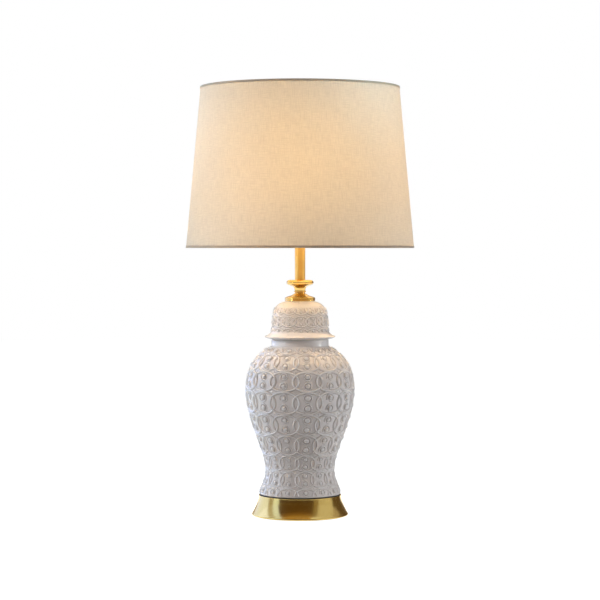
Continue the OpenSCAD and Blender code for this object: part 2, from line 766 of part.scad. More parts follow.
module finial() {
  waist_r = 4.2;
  ball_r = 0.38 * finial_h;
  color("goldenrod") translate([0, 0, harp_seat_z + spider_t]) difference() {
    revolve(concat(
      [[0, 0], [7.6, 0], [7.6, 1.6], [6.4, 2.4], [waist_r + 0.5, 3.2]],
      arc([0, finial_h - ball_r], ball_r, -52, 90, 14)
    ));
    translate([0, 0, -past]) cylinder(r = stud_r + thread_fit, h = stud_h - spider_t + 1 + past);
  }
}

felt_pad();
bottom_cover();
cover_screws();
brass_foot();
cord_bushing();
ballast_weight();
bottom_nut();
bottom_washer();
lamp_pipe();
foot_gasket();
floor_bush();
jar();
lid_seal();
lid();
lid_bush();
cap_washer();
vase_cap();
neck_spacer();
check_ring();
stem_tube();
stem_collar();
harp_saddle();
harp();
left_ferrule();
right_ferrule();
socket_cap();
socket_set_screw();
socket_shell();
socket_sleeve();
socket_core();
screw_shell();
centre_contact();
terminal_screws();
switch_cam();
switch_shaft();
switch_knob();
bulb_globe();
bulb_screw_cap();
bulb_insulator();
bulb_tip();
bulb_led_column();
shade_top_frame();
shade_bottom_ring();
shade_liner();
shade_cloth();
top_hem();
bottom_hem();
finial();
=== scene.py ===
# %% [markdown]
# # Dressing a porcelain table lamp
#
# The lamp stands on z = 0, its axis is the z axis, and all lengths are in metres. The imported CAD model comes
# first and stays fixed, like a jig on a workbench. Every piece made below sits where that model says, so
# nothing has to be fitted by eye.

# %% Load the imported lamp
import json
import math
import bpy
import numpy as np
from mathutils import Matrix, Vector


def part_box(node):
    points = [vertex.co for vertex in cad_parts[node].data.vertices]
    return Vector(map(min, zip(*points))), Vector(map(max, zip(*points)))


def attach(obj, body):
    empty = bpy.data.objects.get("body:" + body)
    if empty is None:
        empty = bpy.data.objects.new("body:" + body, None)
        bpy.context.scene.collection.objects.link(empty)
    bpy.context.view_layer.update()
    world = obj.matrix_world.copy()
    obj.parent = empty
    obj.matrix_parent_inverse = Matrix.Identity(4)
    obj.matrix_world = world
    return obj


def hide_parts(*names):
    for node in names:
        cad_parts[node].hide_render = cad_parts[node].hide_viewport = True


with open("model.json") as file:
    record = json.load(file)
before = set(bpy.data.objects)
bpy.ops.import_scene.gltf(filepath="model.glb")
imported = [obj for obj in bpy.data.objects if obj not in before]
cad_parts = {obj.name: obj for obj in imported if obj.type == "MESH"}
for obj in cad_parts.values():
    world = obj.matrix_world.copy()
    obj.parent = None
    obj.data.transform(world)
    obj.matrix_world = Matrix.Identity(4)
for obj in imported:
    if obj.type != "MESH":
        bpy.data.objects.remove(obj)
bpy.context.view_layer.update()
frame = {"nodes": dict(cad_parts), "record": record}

scene = bpy.context.scene
scene.view_settings.view_transform = "Standard"
MM = 0.001
UM = 0.000001

# %% [markdown]
# ## The camera
#
# A product shot of a tall lamp is taken from far away with a long lens, so that the shade's top and bottom
# edges stay nearly straight. The camera below stands 3 m off and looks down by less than two degrees.

# %% Camera
PICTURE_PX = 600
FOCAL_PX = 1983.35
SENSOR_MM = 36.0
CAMERA_DISTANCE = 3.0427
CAMERA_HEIGHT = 0.407
LOOK_DOWN = 0.025045      # in radians


def in_scene(name, data):
    """A new object with its data, put into the scene."""
    made = bpy.data.objects.new(name, data)
    scene.collection.objects.link(made)
    return made


def mesh_object(name, points, faces, material):
    """A new mesh object with one material."""
    mesh = bpy.data.meshes.new(name)
    mesh.from_pydata(points, [], faces)
    mesh.materials.append(material)
    return in_scene(name, mesh)


camera_data = bpy.data.cameras.new("studio_camera")
camera_data.sensor_width = SENSOR_MM
camera_data.lens = FOCAL_PX / PICTURE_PX * SENSOR_MM
camera = in_scene("studio_camera", camera_data)
camera.location = (0.0, -CAMERA_DISTANCE, CAMERA_HEIGHT)
camera.rotation_euler = (math.pi / 2 - LOOK_DOWN, 0, 0)
scene.camera = camera
print("lens:", round(camera_data.lens, 1), "mm")

# %% [markdown]
# ## Helpers for shader nodes
#
# A material is a small graph. Adding a node, setting its values and linking it each take a line, so one
# helper does all three: a value that is a socket is linked, and any other value is typed in. The helpers
# after it name the few steps that nearly every finish of this lamp takes.


# %% Helpers for shader nodes
def add(tree, kind, values=None, **settings):
    """Adds a node, sets its properties, and links or types in its inputs."""
    node = tree.nodes.new(kind)
    for name, value in settings.items():
        setattr(node, name, value)
    for name, value in (values or {}).items():
        socket = node.inputs[name]
        if isinstance(value, bpy.types.NodeSocket):
            tree.links.new(value, socket)
        else:
            socket.default_value = value
    return node


def output(tree, kind, values=None, **settings):
    """The first output of a node that is added in the same way."""
    return add(tree, kind, values, **settings).outputs[0]


def start_material(name):
    """A new material without any node, and its node tree."""
    material = bpy.data.materials.new(name)
    material.use_nodes = True
    tree = material.node_tree
    tree.nodes.clear()
    return material, tree


def close_material(tree, shader):
    """Links a shader to the material's output."""
    add(tree, "ShaderNodeOutputMaterial", {"Surface": shader})


def principled(tree, values):
    """Ends a material with the general shader."""
    close_material(tree, output(tree, "ShaderNodeBsdfPrincipled", values))


def mix_shaders(tree, share, first, second):
    """A shader between two others, by the share of the second."""
    return output(tree, "ShaderNodeMixShader", {0: share, 1: first, 2: second})


def object_place(tree):
    """Object coordinates, which are metres on the lamp itself."""
    return add(tree, "ShaderNodeTexCoord").outputs["Object"]


def math_node(tree, operation, a, b=0.0):
    """One sum on two numbers or sockets."""
    return output(tree, "ShaderNodeMath", {0: a, 1: b}, operation=operation)


def times(tree, a, b):
    return math_node(tree, "MULTIPLY", a, b)


def plus(tree, a, b):
    return math_node(tree, "ADD", a, b)


def minus(tree, a, b):
    return math_node(tree, "SUBTRACT", a, b)


def noise(tree, place, scale, detail, stretch=(1, 1, 1)):
    """Noise from 0 to 1 at a place, squeezed along an axis where stretch is above 1."""
    spot = output(tree, "ShaderNodeMapping", {"Vector": place, "Scale": stretch})
    return output(tree, "ShaderNodeTexNoise", {"Vector": spot, "Scale": scale, "Detail": detail})


def spread(tree, value, low, high, start=0.3, stop=0.7):
    """Maps a noise value from its usual span to another span."""
    return output(tree, "ShaderNodeMapRange", {"Value": value, "From Min": start, "From Max": stop,
                                               "To Min": low, "To Max": high})


def blend_colours(tree, factor, first, second):
    """Mixes two colours by a factor; each may be a socket."""
    ends = [c if isinstance(c, bpy.types.NodeSocket) else (*c, 1) for c in (first, second)]
    return add(tree, "ShaderNodeMix", {0: factor, 6: ends[0], 7: ends[1]}, data_type="RGBA").outputs[2]


def bump(tree, height, distance, strength=1.0):
    """A normal that follows a height from 0 to 1, in metres of depth."""
    return output(tree, "ShaderNodeBump", {"Height": height, "Distance": distance, "Strength": strength})


# %% [markdown]
# ## The studio
#
# The floor and the sky are white to the camera, and in reflections too. The world is only a weak fill. Cool
# soft boxes stand at both sides and a small warm one hangs in front, so that the middle of the jar stays
# darker than its sides. Snoots, which are narrow spots, come down steeply on the lid, the shoulder and the
# shade: light that skims a raised pattern shows it, and light from the front hides it. The floor can be seen
# through from below, so that a low camera finds the felt and the inside of the shade.

# %% World: white to the eye, a weak fill for the lamp
FILL = 0.045
world = bpy.data.worlds.new("studio_world")
world.use_nodes = True
scene.world = world
sky = world.node_tree
sky.nodes.clear()


def seen_directly(tree):
    """1 for rays that show a surface itself: straight, mirrored, or through glass."""
    rays = add(tree, "ShaderNodeLightPath").outputs
    seen = math_node(tree, "MAXIMUM", rays["Is Camera Ray"], rays["Is Glossy Ray"])
    return math_node(tree, "MAXIMUM", seen, rays["Is Transmission Ray"])


fill_light = output(sky, "ShaderNodeBackground", {"Color": (1.0, 0.86, 0.80, 1), "Strength": FILL})
white_sky = output(sky, "ShaderNodeBackground", {"Color": (1, 1, 1, 1), "Strength": 1.0})
both = mix_shaders(sky, seen_directly(sky), fill_light, white_sky)
add(sky, "ShaderNodeOutputWorld", {"Surface": both})

# %% Floor
FLOOR_RADIUS = 6.0
FLOOR_SIDES = 96
FLOOR_DROP = 0.2 * MM      # keeps the floor just clear of the felt
FLOOR_GLOW = 0.985         # lifts the floor to white where it is seen directly
floor_material, tree = start_material("studio_floor")
bounce = output(tree, "ShaderNodeBsdfDiffuse", {"Color": (0.58, 0.56, 0.56, 1)})
paper = output(tree, "ShaderNodeBsdfDiffuse", {"Color": (0.86, 0.86, 0.86, 1)})
glow = output(tree, "ShaderNodeEmission", {"Color": (1, 1, 1, 1), "Strength": FLOOR_GLOW})
lift = output(tree, "ShaderNodeAddShader", {0: paper, 1: glow})
top_side = mix_shaders(tree, seen_directly(tree), bounce, lift)
from_below = add(tree, "ShaderNodeNewGeometry").outputs["Backfacing"]
clear = output(tree, "ShaderNodeBsdfTransparent")
close_material(tree, mix_shaders(tree, from_below, top_side, clear))
turns = [2 * math.pi * i / FLOOR_SIDES for i in range(FLOOR_SIDES)]
rim = [(FLOOR_RADIUS * math.cos(a), FLOOR_RADIUS * math.sin(a), -FLOOR_DROP) for a in turns]
floor = mesh_object("studio_floor", rim, [tuple(range(FLOOR_SIDES))], floor_material)


# %% Soft boxes and snoots
SNOOT_R = 0.08      # radius of a snoot's opening, which softens its shadows


def polar(azimuth, distance, height):
    """A place round the lamp: azimuth 0 is the camera's side, and 90 is on its right."""
    a = math.radians(azimuth)
    return Vector((distance * math.sin(a), -distance * math.cos(a), height))


def light_source(name, kind, place, power, colour, **settings):
    """A light at a place, which shows in no reflection."""
    data = bpy.data.lights.new(name, kind)
    data.energy, data.color = power, colour
    for key, value in settings.items():
        setattr(data, key, value)
    light = in_scene(name, data)
    light.location = place
    light.visible_glossy = False
    return light


def face_towards(light, target):
    light.rotation_euler = (Vector(target) - light.location).to_track_quat("-Z", "Y").to_euler()


def soft_box(name, azimuth, distance, height, width, tall, power, colour, mirrored=False, aim=0.3):
    """A rectangular light that faces the lamp; one that is mirrored also shows in polished pieces."""
    light = light_source(name, "AREA", polar(azimuth, distance, height), power, colour,
                         shape="RECTANGLE", size=width, size_y=tall)
    face_towards(light, (0, 0, aim))
    light.visible_glossy = mirrored


def snoot(name, azimuth, distance, height, aim, cone, power, colour, aside=0.0):
    """A light with a narrow soft cone, for one zone of the lamp."""
    light = light_source(name, "SPOT", polar(azimuth, distance, height), power, colour,
                         spot_size=math.radians(cone), spot_blend=1.0, shadow_soft_size=SNOOT_R)
    face_towards(light, (aside, 0, aim))


soft_box("left_soft_box", -110, 1.6, 1.05, 0.6, 0.9, 10.0, (0.50, 0.82, 1.0), aim=0.48)
soft_box("left_graze_box", -92, 1.7, 0.55, 0.3, 0.7, 4.5, (0.95, 0.97, 1.0), aim=0.2)
soft_box("right_soft_box", 80, 1.8, 0.40, 0.9, 0.8, 12.8, (0.86, 0.93, 1.0), aim=0.20)
soft_box("key_soft_box", -56, 1.8, 1.5, 0.22, 0.22, 13.5, (0.98, 0.96, 0.97))
soft_box("high_front_box", 4, 1.5, 1.9, 0.3, 0.3, 2.8, (1.0, 0.68, 0.52), aim=0.2)
snoot("lid_snoot", -30, 1.5, 1.30, 0.314, 3.6, 92.0, (1.0, 0.69, 0.44))
snoot("low_left_snoot", -96, 1.6, 0.45, 0.060, 5.0, 26.0, (0.92, 0.96, 1.0))
snoot("low_right_snoot", 96, 1.6, 0.45, 0.060, 5.0, 30.0, (0.96, 0.96, 1.0))
snoot("shade_snoot", 34, 1.6, 1.00, 0.655, 10.0, 56.0, (0.62, 0.92, 1.0), aside=0.06)
snoot("shade_edge_snoot", -86, 1.6, 0.90, 0.590, 7.5, 42.0, (0.10, 0.55, 1.0), aside=-0.14)
soft_box("left_strip", -64, 1.7, 0.165, 0.06, 0.20, 1.3, (0.95, 0.98, 1.0), mirrored=True)
soft_box("right_strip", 88, 1.7, 0.165, 0.05, 0.20, 1.1, (1.0, 0.98, 0.96), mirrored=True)

# %% [markdown]
# Polished metal only looks like metal when it has something to reflect. A photographer stands cards round the
# table: dark ones for contrast, grey and gold ones for body. These cards are seen by reflections alone and
# throw no shade. The cone of the foot looks up at the high cards, upright parts look at the low ones, and the
# steep top of the foot looks down at a ring of near ones, which stands just round it.


# %% Cards, seen only by reflections
CARD_STEPS = 8
FAR_RING = 2.4
NEAR_RING = 0.15
NEAR_TOP = 0.052


def card(name, first, last, low, high, shade, distance=FAR_RING):
    """A curved card from one azimuth to another, between two heights."""
    angles = [first + (last - first) * i / CARD_STEPS for i in range(CARD_STEPS + 1)]
    points = [polar(a, distance, z) for z in (low, high) for a in angles]
    above = CARD_STEPS + 1
    faces = [(i, i + 1, i + above + 1, i + above) for i in range(CARD_STEPS)]
    material, tree = start_material(name)
    close_material(tree, output(tree, "ShaderNodeEmission", {"Color": (*shade, 1), "Strength": 1.0}))
    piece = mesh_object(name, points, faces, material)
    for kind in ("camera", "diffuse", "transmission", "volume_scatter", "shadow"):
        setattr(piece, "visible_" + kind, False)


card("high_front_card", -62, 38, 0.8, 2.2, (0.12, 0.065, 0.02))
card("high_front_dusk", -62, 38, 2.2, 2.9, (0.24, 0.13, 0.035))
card("high_front_glow", -62, 38, 2.9, 5.5, (0.50, 0.30, 0.085))
card("high_left_bright", -80, -62, 0.02, 4.0, (1.0, 1.2, 1.7))
card("high_left_grey", -97, -80, 0.5, 4.0, (0.60, 0.58, 0.54))
card("high_left_white", -150, -97, 0.02, 3.0, (1.3, 1.5, 2.4))
card("high_right_shade", 38, 52, 0.6, 3.2, (0.34, 0.26, 0.14))
card("high_right_grey", 52, 100, 0.02, 3.0, (0.74, 0.70, 0.62))
card("high_right_brown", 100, 122, 0.3, 2.0, (0.52, 0.44, 0.36))
card("rear_right_card", 122, 168, 0.05, 1.6, (0.22, 0.15, 0.10))
card("rear_card", 168, 210, 0.01, 1.2, (0.55, 0.45, 0.30))
NEAR_CARDS = (
    ("white", -124, -77, (1.1, 1.25, 1.8)), ("grey", -77, -63, (0.50, 0.46, 0.38)),
    ("bright", -63, -48, (0.95, 1.15, 1.5)), ("dark", -48, 30, (0.10, 0.06, 0.025)),
    ("dusk", 30, 41, (0.34, 0.26, 0.14)), ("gold", 41, 80, (0.66, 0.61, 0.50)),
    ("brown", 80, 124, (0.14, 0.09, 0.045)),
)
for side, first, last, shade in NEAR_CARDS:
    card("near_" + side + "_card", first, last, 0.0, NEAR_TOP, shade, distance=NEAR_RING)
card("low_front_gold", -58, 66, 0.01, 0.8, (0.58, 0.40, 0.20))

# %% [markdown]
# ## The finishes
#
# Each finish is made of the same few parts: a colour that drifts a little over the surface, a roughness that
# drifts with it, and a fine bump. Patterns read Object coordinates, which are metres on the lamp itself, so a
# scale of 1000 means features of about a millimetre.


# %% A plain finish with some life in it
def finish(name, dark, light, roughness, grain, depth, metallic=0.0):
    """A matt or glossy surface: two near colours, a roughness span, and a bump of a grain size."""
    material, tree = start_material(name)
    place = object_place(tree)
    drift = noise(tree, place, 60, 3)
    fine = noise(tree, place, 1 / (grain * MM), 2)
    principled(tree, {
        "Base Color": blend_colours(tree, spread(tree, drift, 0, 1), dark, light),
        "Roughness": spread(tree, noise(tree, place, 140, 2), *roughness),
        "Normal": bump(tree, fine, depth * UM),
        "Metallic": metallic,
    })
    return material


# Each slot's finish: name, dark and light colour, roughness span, grain in mm, bump depth in micrometres.
PLAIN = {
    "cover_plate": ("black_enamel", (0.015, 0.015, 0.017), (0.03, 0.03, 0.032), (0.3, 0.5), 0.9, 40),
    "black_rubber": ("moulded_rubber", (0.012,) * 3, (0.03,) * 3, (0.55, 0.75), 0.4, 40),
    "white_nylon": ("natural_nylon", (0.72, 0.71, 0.66), (0.82, 0.81, 0.77), (0.35, 0.5), 0.6, 20),
    "clear_seal": ("soft_seal", (0.60, 0.58, 0.52), (0.72, 0.70, 0.65), (0.35, 0.5), 0.5, 20),
    "fibre_sleeve": ("vulcanised_fibre", (0.25, 0.14, 0.07), (0.37, 0.23, 0.12), (0.6, 0.8), 0.4, 30),
    "moulded_black": ("phenolic", (0.012, 0.010, 0.009), (0.022, 0.019, 0.017), (0.3, 0.45), 0.5, 20),
    "knob_black": ("glossy_knob", (0.010, 0.009, 0.009), (0.018, 0.016, 0.015), (0.18, 0.32), 0.6, 10),
    "cam_fibre": ("laminated_cam", (0.42, 0.32, 0.20), (0.52, 0.41, 0.28), (0.5, 0.7), 0.3, 20),
    "cap_insulator": ("black_glass", (0.012, 0.010, 0.013), (0.02, 0.018, 0.02), (0.08, 0.2), 1, 10),
    "led_carrier": ("white_carrier", (0.80, 0.80, 0.76), (0.88, 0.88, 0.85), (0.4, 0.5), 0.6, 10),
    "white_wire": ("white_enamel", (0.76, 0.74, 0.70), (0.84, 0.82, 0.79), (0.25, 0.4), 0.8, 30),
    "ballast_iron": ("grey_casting", (0.10, 0.10, 0.105), (0.17, 0.17, 0.175), (0.55, 0.8), 1.1, 250, 0.7),
}
finishes = {slot: finish(*look) for slot, look in PLAIN.items()}


# %% Metal: turned or brushed lines run round the axis
WANDER = 6               # features per metre along a tool line, so that lines drift slowly
STAIN = 0.25             # how strong the worn spots are
FOOT_BOW = (16.4 * MM, 15.4 * MM, 0.9 * MM)      # the foot's middle, half height, and hollow of its side


def metal(name, colour, stain, roughness, lines, depth, bow=None):
    """Metal whose tool lines run round the lamp's axis; lines counts them per metre of height or radius."""
    material, tree = start_material(name)
    place = object_place(tree)
    x, y, z = add(tree, "ShaderNodeSeparateXYZ", {0: place}).outputs
    radius = math_node(tree, "SQRT", plus(tree, times(tree, x, x), times(tree, y, y)))
    along = plus(tree, z, radius)
    turned = output(tree, "ShaderNodeCombineXYZ", {
        0: times(tree, x, WANDER), 1: times(tree, y, WANDER), 2: times(tree, along, lines)})
    strokes = output(tree, "ShaderNodeTexNoise", {"Vector": turned, "Scale": 1.0, "Detail": 3.0})
    cloud = noise(tree, place, 45, 4)
    worn = times(tree, spread(tree, cloud, 0, 1, 0.45, 0.8), STAIN)
    normal = bump(tree, strokes, depth * UM)
    if bow:
        middle, half, hollow = bow
        off = math_node(tree, "DIVIDE", minus(tree, z, middle), half)
        normal = output(tree, "ShaderNodeBump", {"Height": times(tree, off, off), "Distance": hollow,
                                                 "Strength": 1.0, "Normal": normal})
    principled(tree, {
        "Base Color": blend_colours(tree, worn, colour, stain),
        "Metallic": 1.0,
        "Roughness": plus(tree, spread(tree, strokes, *roughness), spread(tree, cloud, -0.03, 0.05)),
        "Normal": normal,
    })
    return material


# Each slot's metal: name, colour, stain, roughness span, tool lines per metre, their depth in micrometres.
METALS = {
    "brushed_brass": ("brushed_brass", (0.70, 0.54, 0.20), (0.55, 0.38, 0.12), (0.13, 0.21), 2600, 4,
                      FOOT_BOW),
    "polished_brass": ("polished_brass", (0.68, 0.45, 0.14), (0.50, 0.30, 0.07), (0.10, 0.18), 1600, 4),
    "harp_brass": ("satin_brass", (0.70, 0.56, 0.28), (0.52, 0.38, 0.16), (0.24, 0.36), 2200, 20),
    "holder_brass": ("drawn_brass", (0.76, 0.58, 0.26), (0.55, 0.38, 0.14), (0.22, 0.34), 1900, 20),
    "contact_brass": ("bright_brass", (0.80, 0.65, 0.34), (0.60, 0.44, 0.20), (0.16, 0.28), 1700, 20),
    "zinc_steel": ("zinc_plate", (0.60, 0.61, 0.62), (0.50, 0.51, 0.50), (0.28, 0.42), 1500, 20),
    "bulb_cap_metal": ("bright_aluminium", (0.78, 0.78, 0.77), (0.60, 0.60, 0.58), (0.22, 0.35), 1500, 20),
    "solder_tip": ("tinned_tip", (0.68, 0.68, 0.66), (0.50, 0.50, 0.48), (0.30, 0.45), 500, 40),
}
finishes.update({slot: metal(*look) for slot, look in METALS.items()})
print("finishes so far:", len(finishes))

# %% [markdown]
# ## Turning a piece again
#
# Most of this lamp is turned or thrown, so each solid of the CAD model is the revolution of one outline. The
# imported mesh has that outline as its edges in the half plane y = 0. The helper below reads it, rounds its
# corners by a hair so that edges catch light, smooths its curves, and spins it with many columns. The new
# piece then has the size of the solid and a finer skin.


# %% Read an outline from a turned solid
def outline_of(node):
    """The outline (r, z) of a turned solid; one that ends on the axis is closed there."""
    mesh = frame["nodes"][node].data
    links = {}
    for edge in mesh.edges:
        ends = [mesh.vertices[i].co for i in edge.vertices]
        if all(abs(p.y) < 1e-6 and p.x > 1e-5 for p in ends):
            a, b = ((round(p.x, 6), round(p.z, 6)) for p in ends)
            if a != b:
                links.setdefault(a, set()).add(b)
                links.setdefault(b, set()).add(a)
    loose = sorted(p for p, near in links.items() if len(near) == 1)
    path = [loose[0] if loose else min(links, key=lambda p: (p[1], p[0]))]
    before = None
    while True:
        onward = sorted(p for p in links[path[-1]] if p != before)
        if not onward or onward[0] == path[0]:
            break
        before = path[-1]
        path.append(onward[0])
    if loose:
        path = [(0.0, path[0][1])] + path + [(0.0, path[-1][1])]
    area = sum(a[0] * b[1] - b[0] * a[1] for a, b in zip(path, path[1:] + path[:1]))
    return [Vector(p) for p in (path if area > 0 else path[::-1])]


# %% Smooth an outline and round its corners
def turn_at(before, here, after):
    """The angle by which an outline turns at a point."""
    return (here - before).angle(after - here, 0.0)


def curve_between(a, b, out_of_a, into_b):
    """Points from a up to b, without b, on a cubic curve with those directions."""
    length = (b - a).length
    bend = out_of_a.angle(b - a, 0.0) + into_b.angle(b - a, 0.0)
    steps = max(1, math.ceil(math.degrees(bend) / 4))
    points = []
    for i in range(steps):
        t = i / steps
        points.append((2 * t**3 - 3 * t**2 + 1) * a + (t**3 - 2 * t**2 + t) * length * out_of_a
                      + (3 * t**2 - 2 * t**3) * b + (t**3 - t**2) * length * into_b)
    return points


SHARP_TURN = 32      # degrees from which a turn of an outline is a corner


def fine_outline(rough, edge):
    """The same closed outline with smooth runs, and with corners rounded by a small edge."""
    count = len(rough)
    on_axis = [p.x < 1e-6 for p in rough]
    turns = [turn_at(rough[i - 1], rough[i], rough[(i + 1) % count]) for i in range(count)]
    corner = [math.degrees(turns[i]) > SHARP_TURN or on_axis[i] for i in range(count)]
    directions = []
    for i in range(count):
        into, out = rough[i] - rough[i - 1], rough[(i + 1) % count] - rough[i]
        directions.append((into + out).normalized())
    fine = []
    for i in range(count):
        a, b = rough[i], rough[(i + 1) % count]
        straight = (b - a).normalized()
        run = curve_between(a, b, straight if corner[i] else directions[i],
                            straight if corner[(i + 1) % count] else directions[(i + 1) % count])
        if corner[i] and not on_axis[i]:
            back, ahead = (rough[i - 1] - a), (b - a)
            cut = min(edge, 0.3 * back.length, 0.3 * ahead.length)
            p, q = a + cut * back.normalized(), a + cut * ahead.normalized()
            fine.append(a + 1.4 * cut * back.normalized())
            fine += [(1 - t)**2 * p + 2 * t * (1 - t) * a + t**2 * q for t in (0, 0.25, 0.5, 0.75, 1)]
            fine.append(a + 1.4 * cut * ahead.normalized())
            run = run[1:]
        fine += run
    return fine


# %% Spin an outline into a mesh
def new_piece(name, points, faces, material):
    """A smooth mesh object at the origin with its place in its vertices."""
    piece = mesh_object(name, points, faces, material)
    piece.data.polygons.foreach_set("use_smooth", [True] * len(faces))
    piece.data.validate()
    return piece


def spin(name, outline, columns, material):
    """A closed mesh of revolution; a point on the axis becomes one vertex."""
    points, rings = [], []
    turns = [2 * math.pi * i / columns for i in range(columns)]
    for p in outline:
        if p.x < 1e-6:
            rings.append([len(points)] * columns)
            points.append((0, 0, p.y))
        else:
            rings.append(list(range(len(points), len(points) + columns)))
            points += [(p.x * math.cos(a), p.x * math.sin(a), p.y) for a in turns]
    faces = []
    for lower, upper in zip(rings, rings[1:] + rings[:1]):
        for i in range(columns):
            j = (i + 1) % columns
            corners = [lower[i], lower[j], upper[j], upper[i]]
            face = [c for k, c in enumerate(corners) if c not in corners[:k]]
            if len(face) > 2:
                faces.append(face)
    return new_piece(name, points, faces, material)


def settle(piece, body, slot, *nodes):
    """Lets a piece ride on a body and stand for solids; its slot is not used."""
    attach(piece, body)
    if nodes:
        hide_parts(*nodes)


body_of = {node: body for body, nodes in frame["record"]["behaviour"]["bodies"].items() for node in nodes}


def turned(name, node, slot, columns=128, edge=0.35 * MM):
    """A finely turned piece that stands for a turned solid of the CAD model."""
    outline = fine_outline(outline_of(node), edge)
    piece = spin(name, outline, columns, finishes[slot])
    settle(piece, body_of[node], slot, node)
    print(name, "outline points:", len(outline), "faces:", len(piece.data.polygons))
    return piece


# %% [markdown]
# ## The brass pieces
#
# The cap, the beaded spacer, the check ring, the tube, the collar and the finial come off a lathe. They are
# turned again with softly rounded edges. The foot is spun from sheet brass and brushed, and it has a hole at
# its back for the lead's bushing, which a Boolean modifier cuts.

# %% Turned brass
turned("brass_vase_cap", "vase_cap", "polished_brass")
turned("beaded_spacer", "neck_spacer", "polished_brass", edge=0.2 * MM)
turned("stem_check_ring", "check_ring", "polished_brass", edge=0.3 * MM)
stem = turned("satin_stem", "stem_tube", "polished_brass", columns=96, edge=0.15 * MM)
stem.data.materials[0] = metal("satin_gold", (0.74, 0.45, 0.12), (0.64, 0.37, 0.09), (0.30, 0.38), 1800, 10)
turned("stem_top_collar", "stem_collar", "polished_brass", columns=96, edge=0.2 * MM)
turned("shade_finial", "finial", "polished_brass", columns=96, edge=0.2 * MM)


# %% The spun foot and its hole
HOLE_MARGIN = 1.6 * MM      # from the lead's bore to the foot's hole: the bushing's wall and its glue
CUT_HALF = 20 * MM          # half length of the cutter


def with_modifiers(piece):
    """The plain mesh that a piece's modifiers make of it; the modifiers go."""
    made = bpy.data.meshes.new_from_object(piece.evaluated_get(bpy.context.evaluated_depsgraph_get()))
    piece.modifiers.clear()
    return made


foot = spin("spun_foot", fine_outline(outline_of("brass_foot"), 0.3 * MM), 192, finishes["brushed_brass"])
inlet = frame["record"]["mounts"][1]
_, inlet_y, inlet_z = inlet["pos_m"]
hole_r = inlet["dims"]["r_mm"] * MM + HOLE_MARGIN
drill = [Vector(p) for p in ((0, -CUT_HALF), (hole_r, -CUT_HALF), (hole_r, CUT_HALF), (0, CUT_HALF))]
cutter = spin("bushing_hole", drill, 48, finishes["brushed_brass"])
for vertex in cutter.data.vertices:
    x, y, z = vertex.co
    vertex.co = (x, z + inlet_y, inlet_z - y)
cut = foot.modifiers.new("bushing hole", "BOOLEAN")
cut.operation, cut.object, cut.solver = "DIFFERENCE", cutter, "EXACT"
foot.data = with_modifiers(foot)
foot.data.set_sharp_from_angle(angle=math.radians(40))
bpy.data.objects.remove(cutter)
settle(foot, "lamp_stand", "brushed_brass", "brass_foot")
print("foot faces:", len(foot.data.polygons))

# %% [markdown]
# ## The glaze, with painted shade and highlight
#
# Clear glaze runs thin on the raised lines and settles in the ground between them. The colour follows the
# relief: the crests are painted a touch whiter, a painted highlight as well as thin glaze, and a dark brown
# hair is painted along the foot of each line, which is painted shade in the crease as well as settled glaze.
# Each raised line carries an attribute called crest that is 1 on its top and 0 at its foot, and the plain
# wall has a value in between.

# %% Porcelain
GROUND = 0.35       # the crest value of the plain wall
porcelain, tree = start_material("glazed_porcelain")
place = object_place(tree)
crest = add(tree, "ShaderNodeAttribute", attribute_name="crest", attribute_type="GEOMETRY").outputs["Fac"]
cloud = noise(tree, place, 22, 3)
ground = blend_colours(tree, spread(tree, cloud, 0, 1), (0.74, 0.71, 0.70), (0.79, 0.765, 0.75))
# Painted shade: dark brown at each ridge's foot, where its crease is in shadow, and glaze that pools there.
pooled_glaze_and_shade = blend_colours(tree, spread(tree, crest, 0, 1, 0.08, GROUND), (0.45, 0.39, 0.35), ground)
# Painted highlight: crests lighter than the ground, which also stands for glaze that runs thin on them.
colour = blend_colours(tree, spread(tree, crest, 0, 1, GROUND, 1.0), pooled_glaze_and_shade, (0.80, 0.79, 0.785))
peel = noise(tree, place, 420, 2)
principled(tree, {
    "Base Color": colour,
    "Roughness": spread(tree, noise(tree, place, 90, 3), 0.26, 0.36),
    "Specular IOR Level": 0.5,
    "Coat Weight": 0.36,
    "Coat Roughness": 0.06,
    "Normal": bump(tree, peel, 60 * UM),
})
finishes["porcelain"] = porcelain


def glaze_and_shade(piece, top=None):
    """Marks a plain wall as ground, or a bead from its foot, painted in shade, to its crest at its top."""
    values = piece.data.attributes.new("crest", "FLOAT", "POINT")
    heights = [GROUND if top is None else min(1.0, max(0.0, v.co.z / top)) for v in piece.data.vertices]
    values.data.foreach_set("value", heights)


# %% [markdown]
# ## Lines laid on a thrown wall
#
# The pattern is a lattice of flat-domed ovals that overlap sideways and all but touch one above another. In
# each oval sit two beads in rings, or two scrolls. All of it can be drawn on an unrolled wall, with an angle
# round the axis and a length up the wall, and laid on the real wall afterwards.
#
# A Geometry Nodes tree then sweeps a bell-shaped section along every drawn line. A bell has no slope at its
# feet, so the ridge grows out of the wall as it does from a mould. The tree keeps the section upright with a
# free curve normal, which it reads from the drawn points.


# %% A wall that can be drawn on
WALL_END_R = 20 * MM      # a wall ends where its outline comes nearer to the axis than this


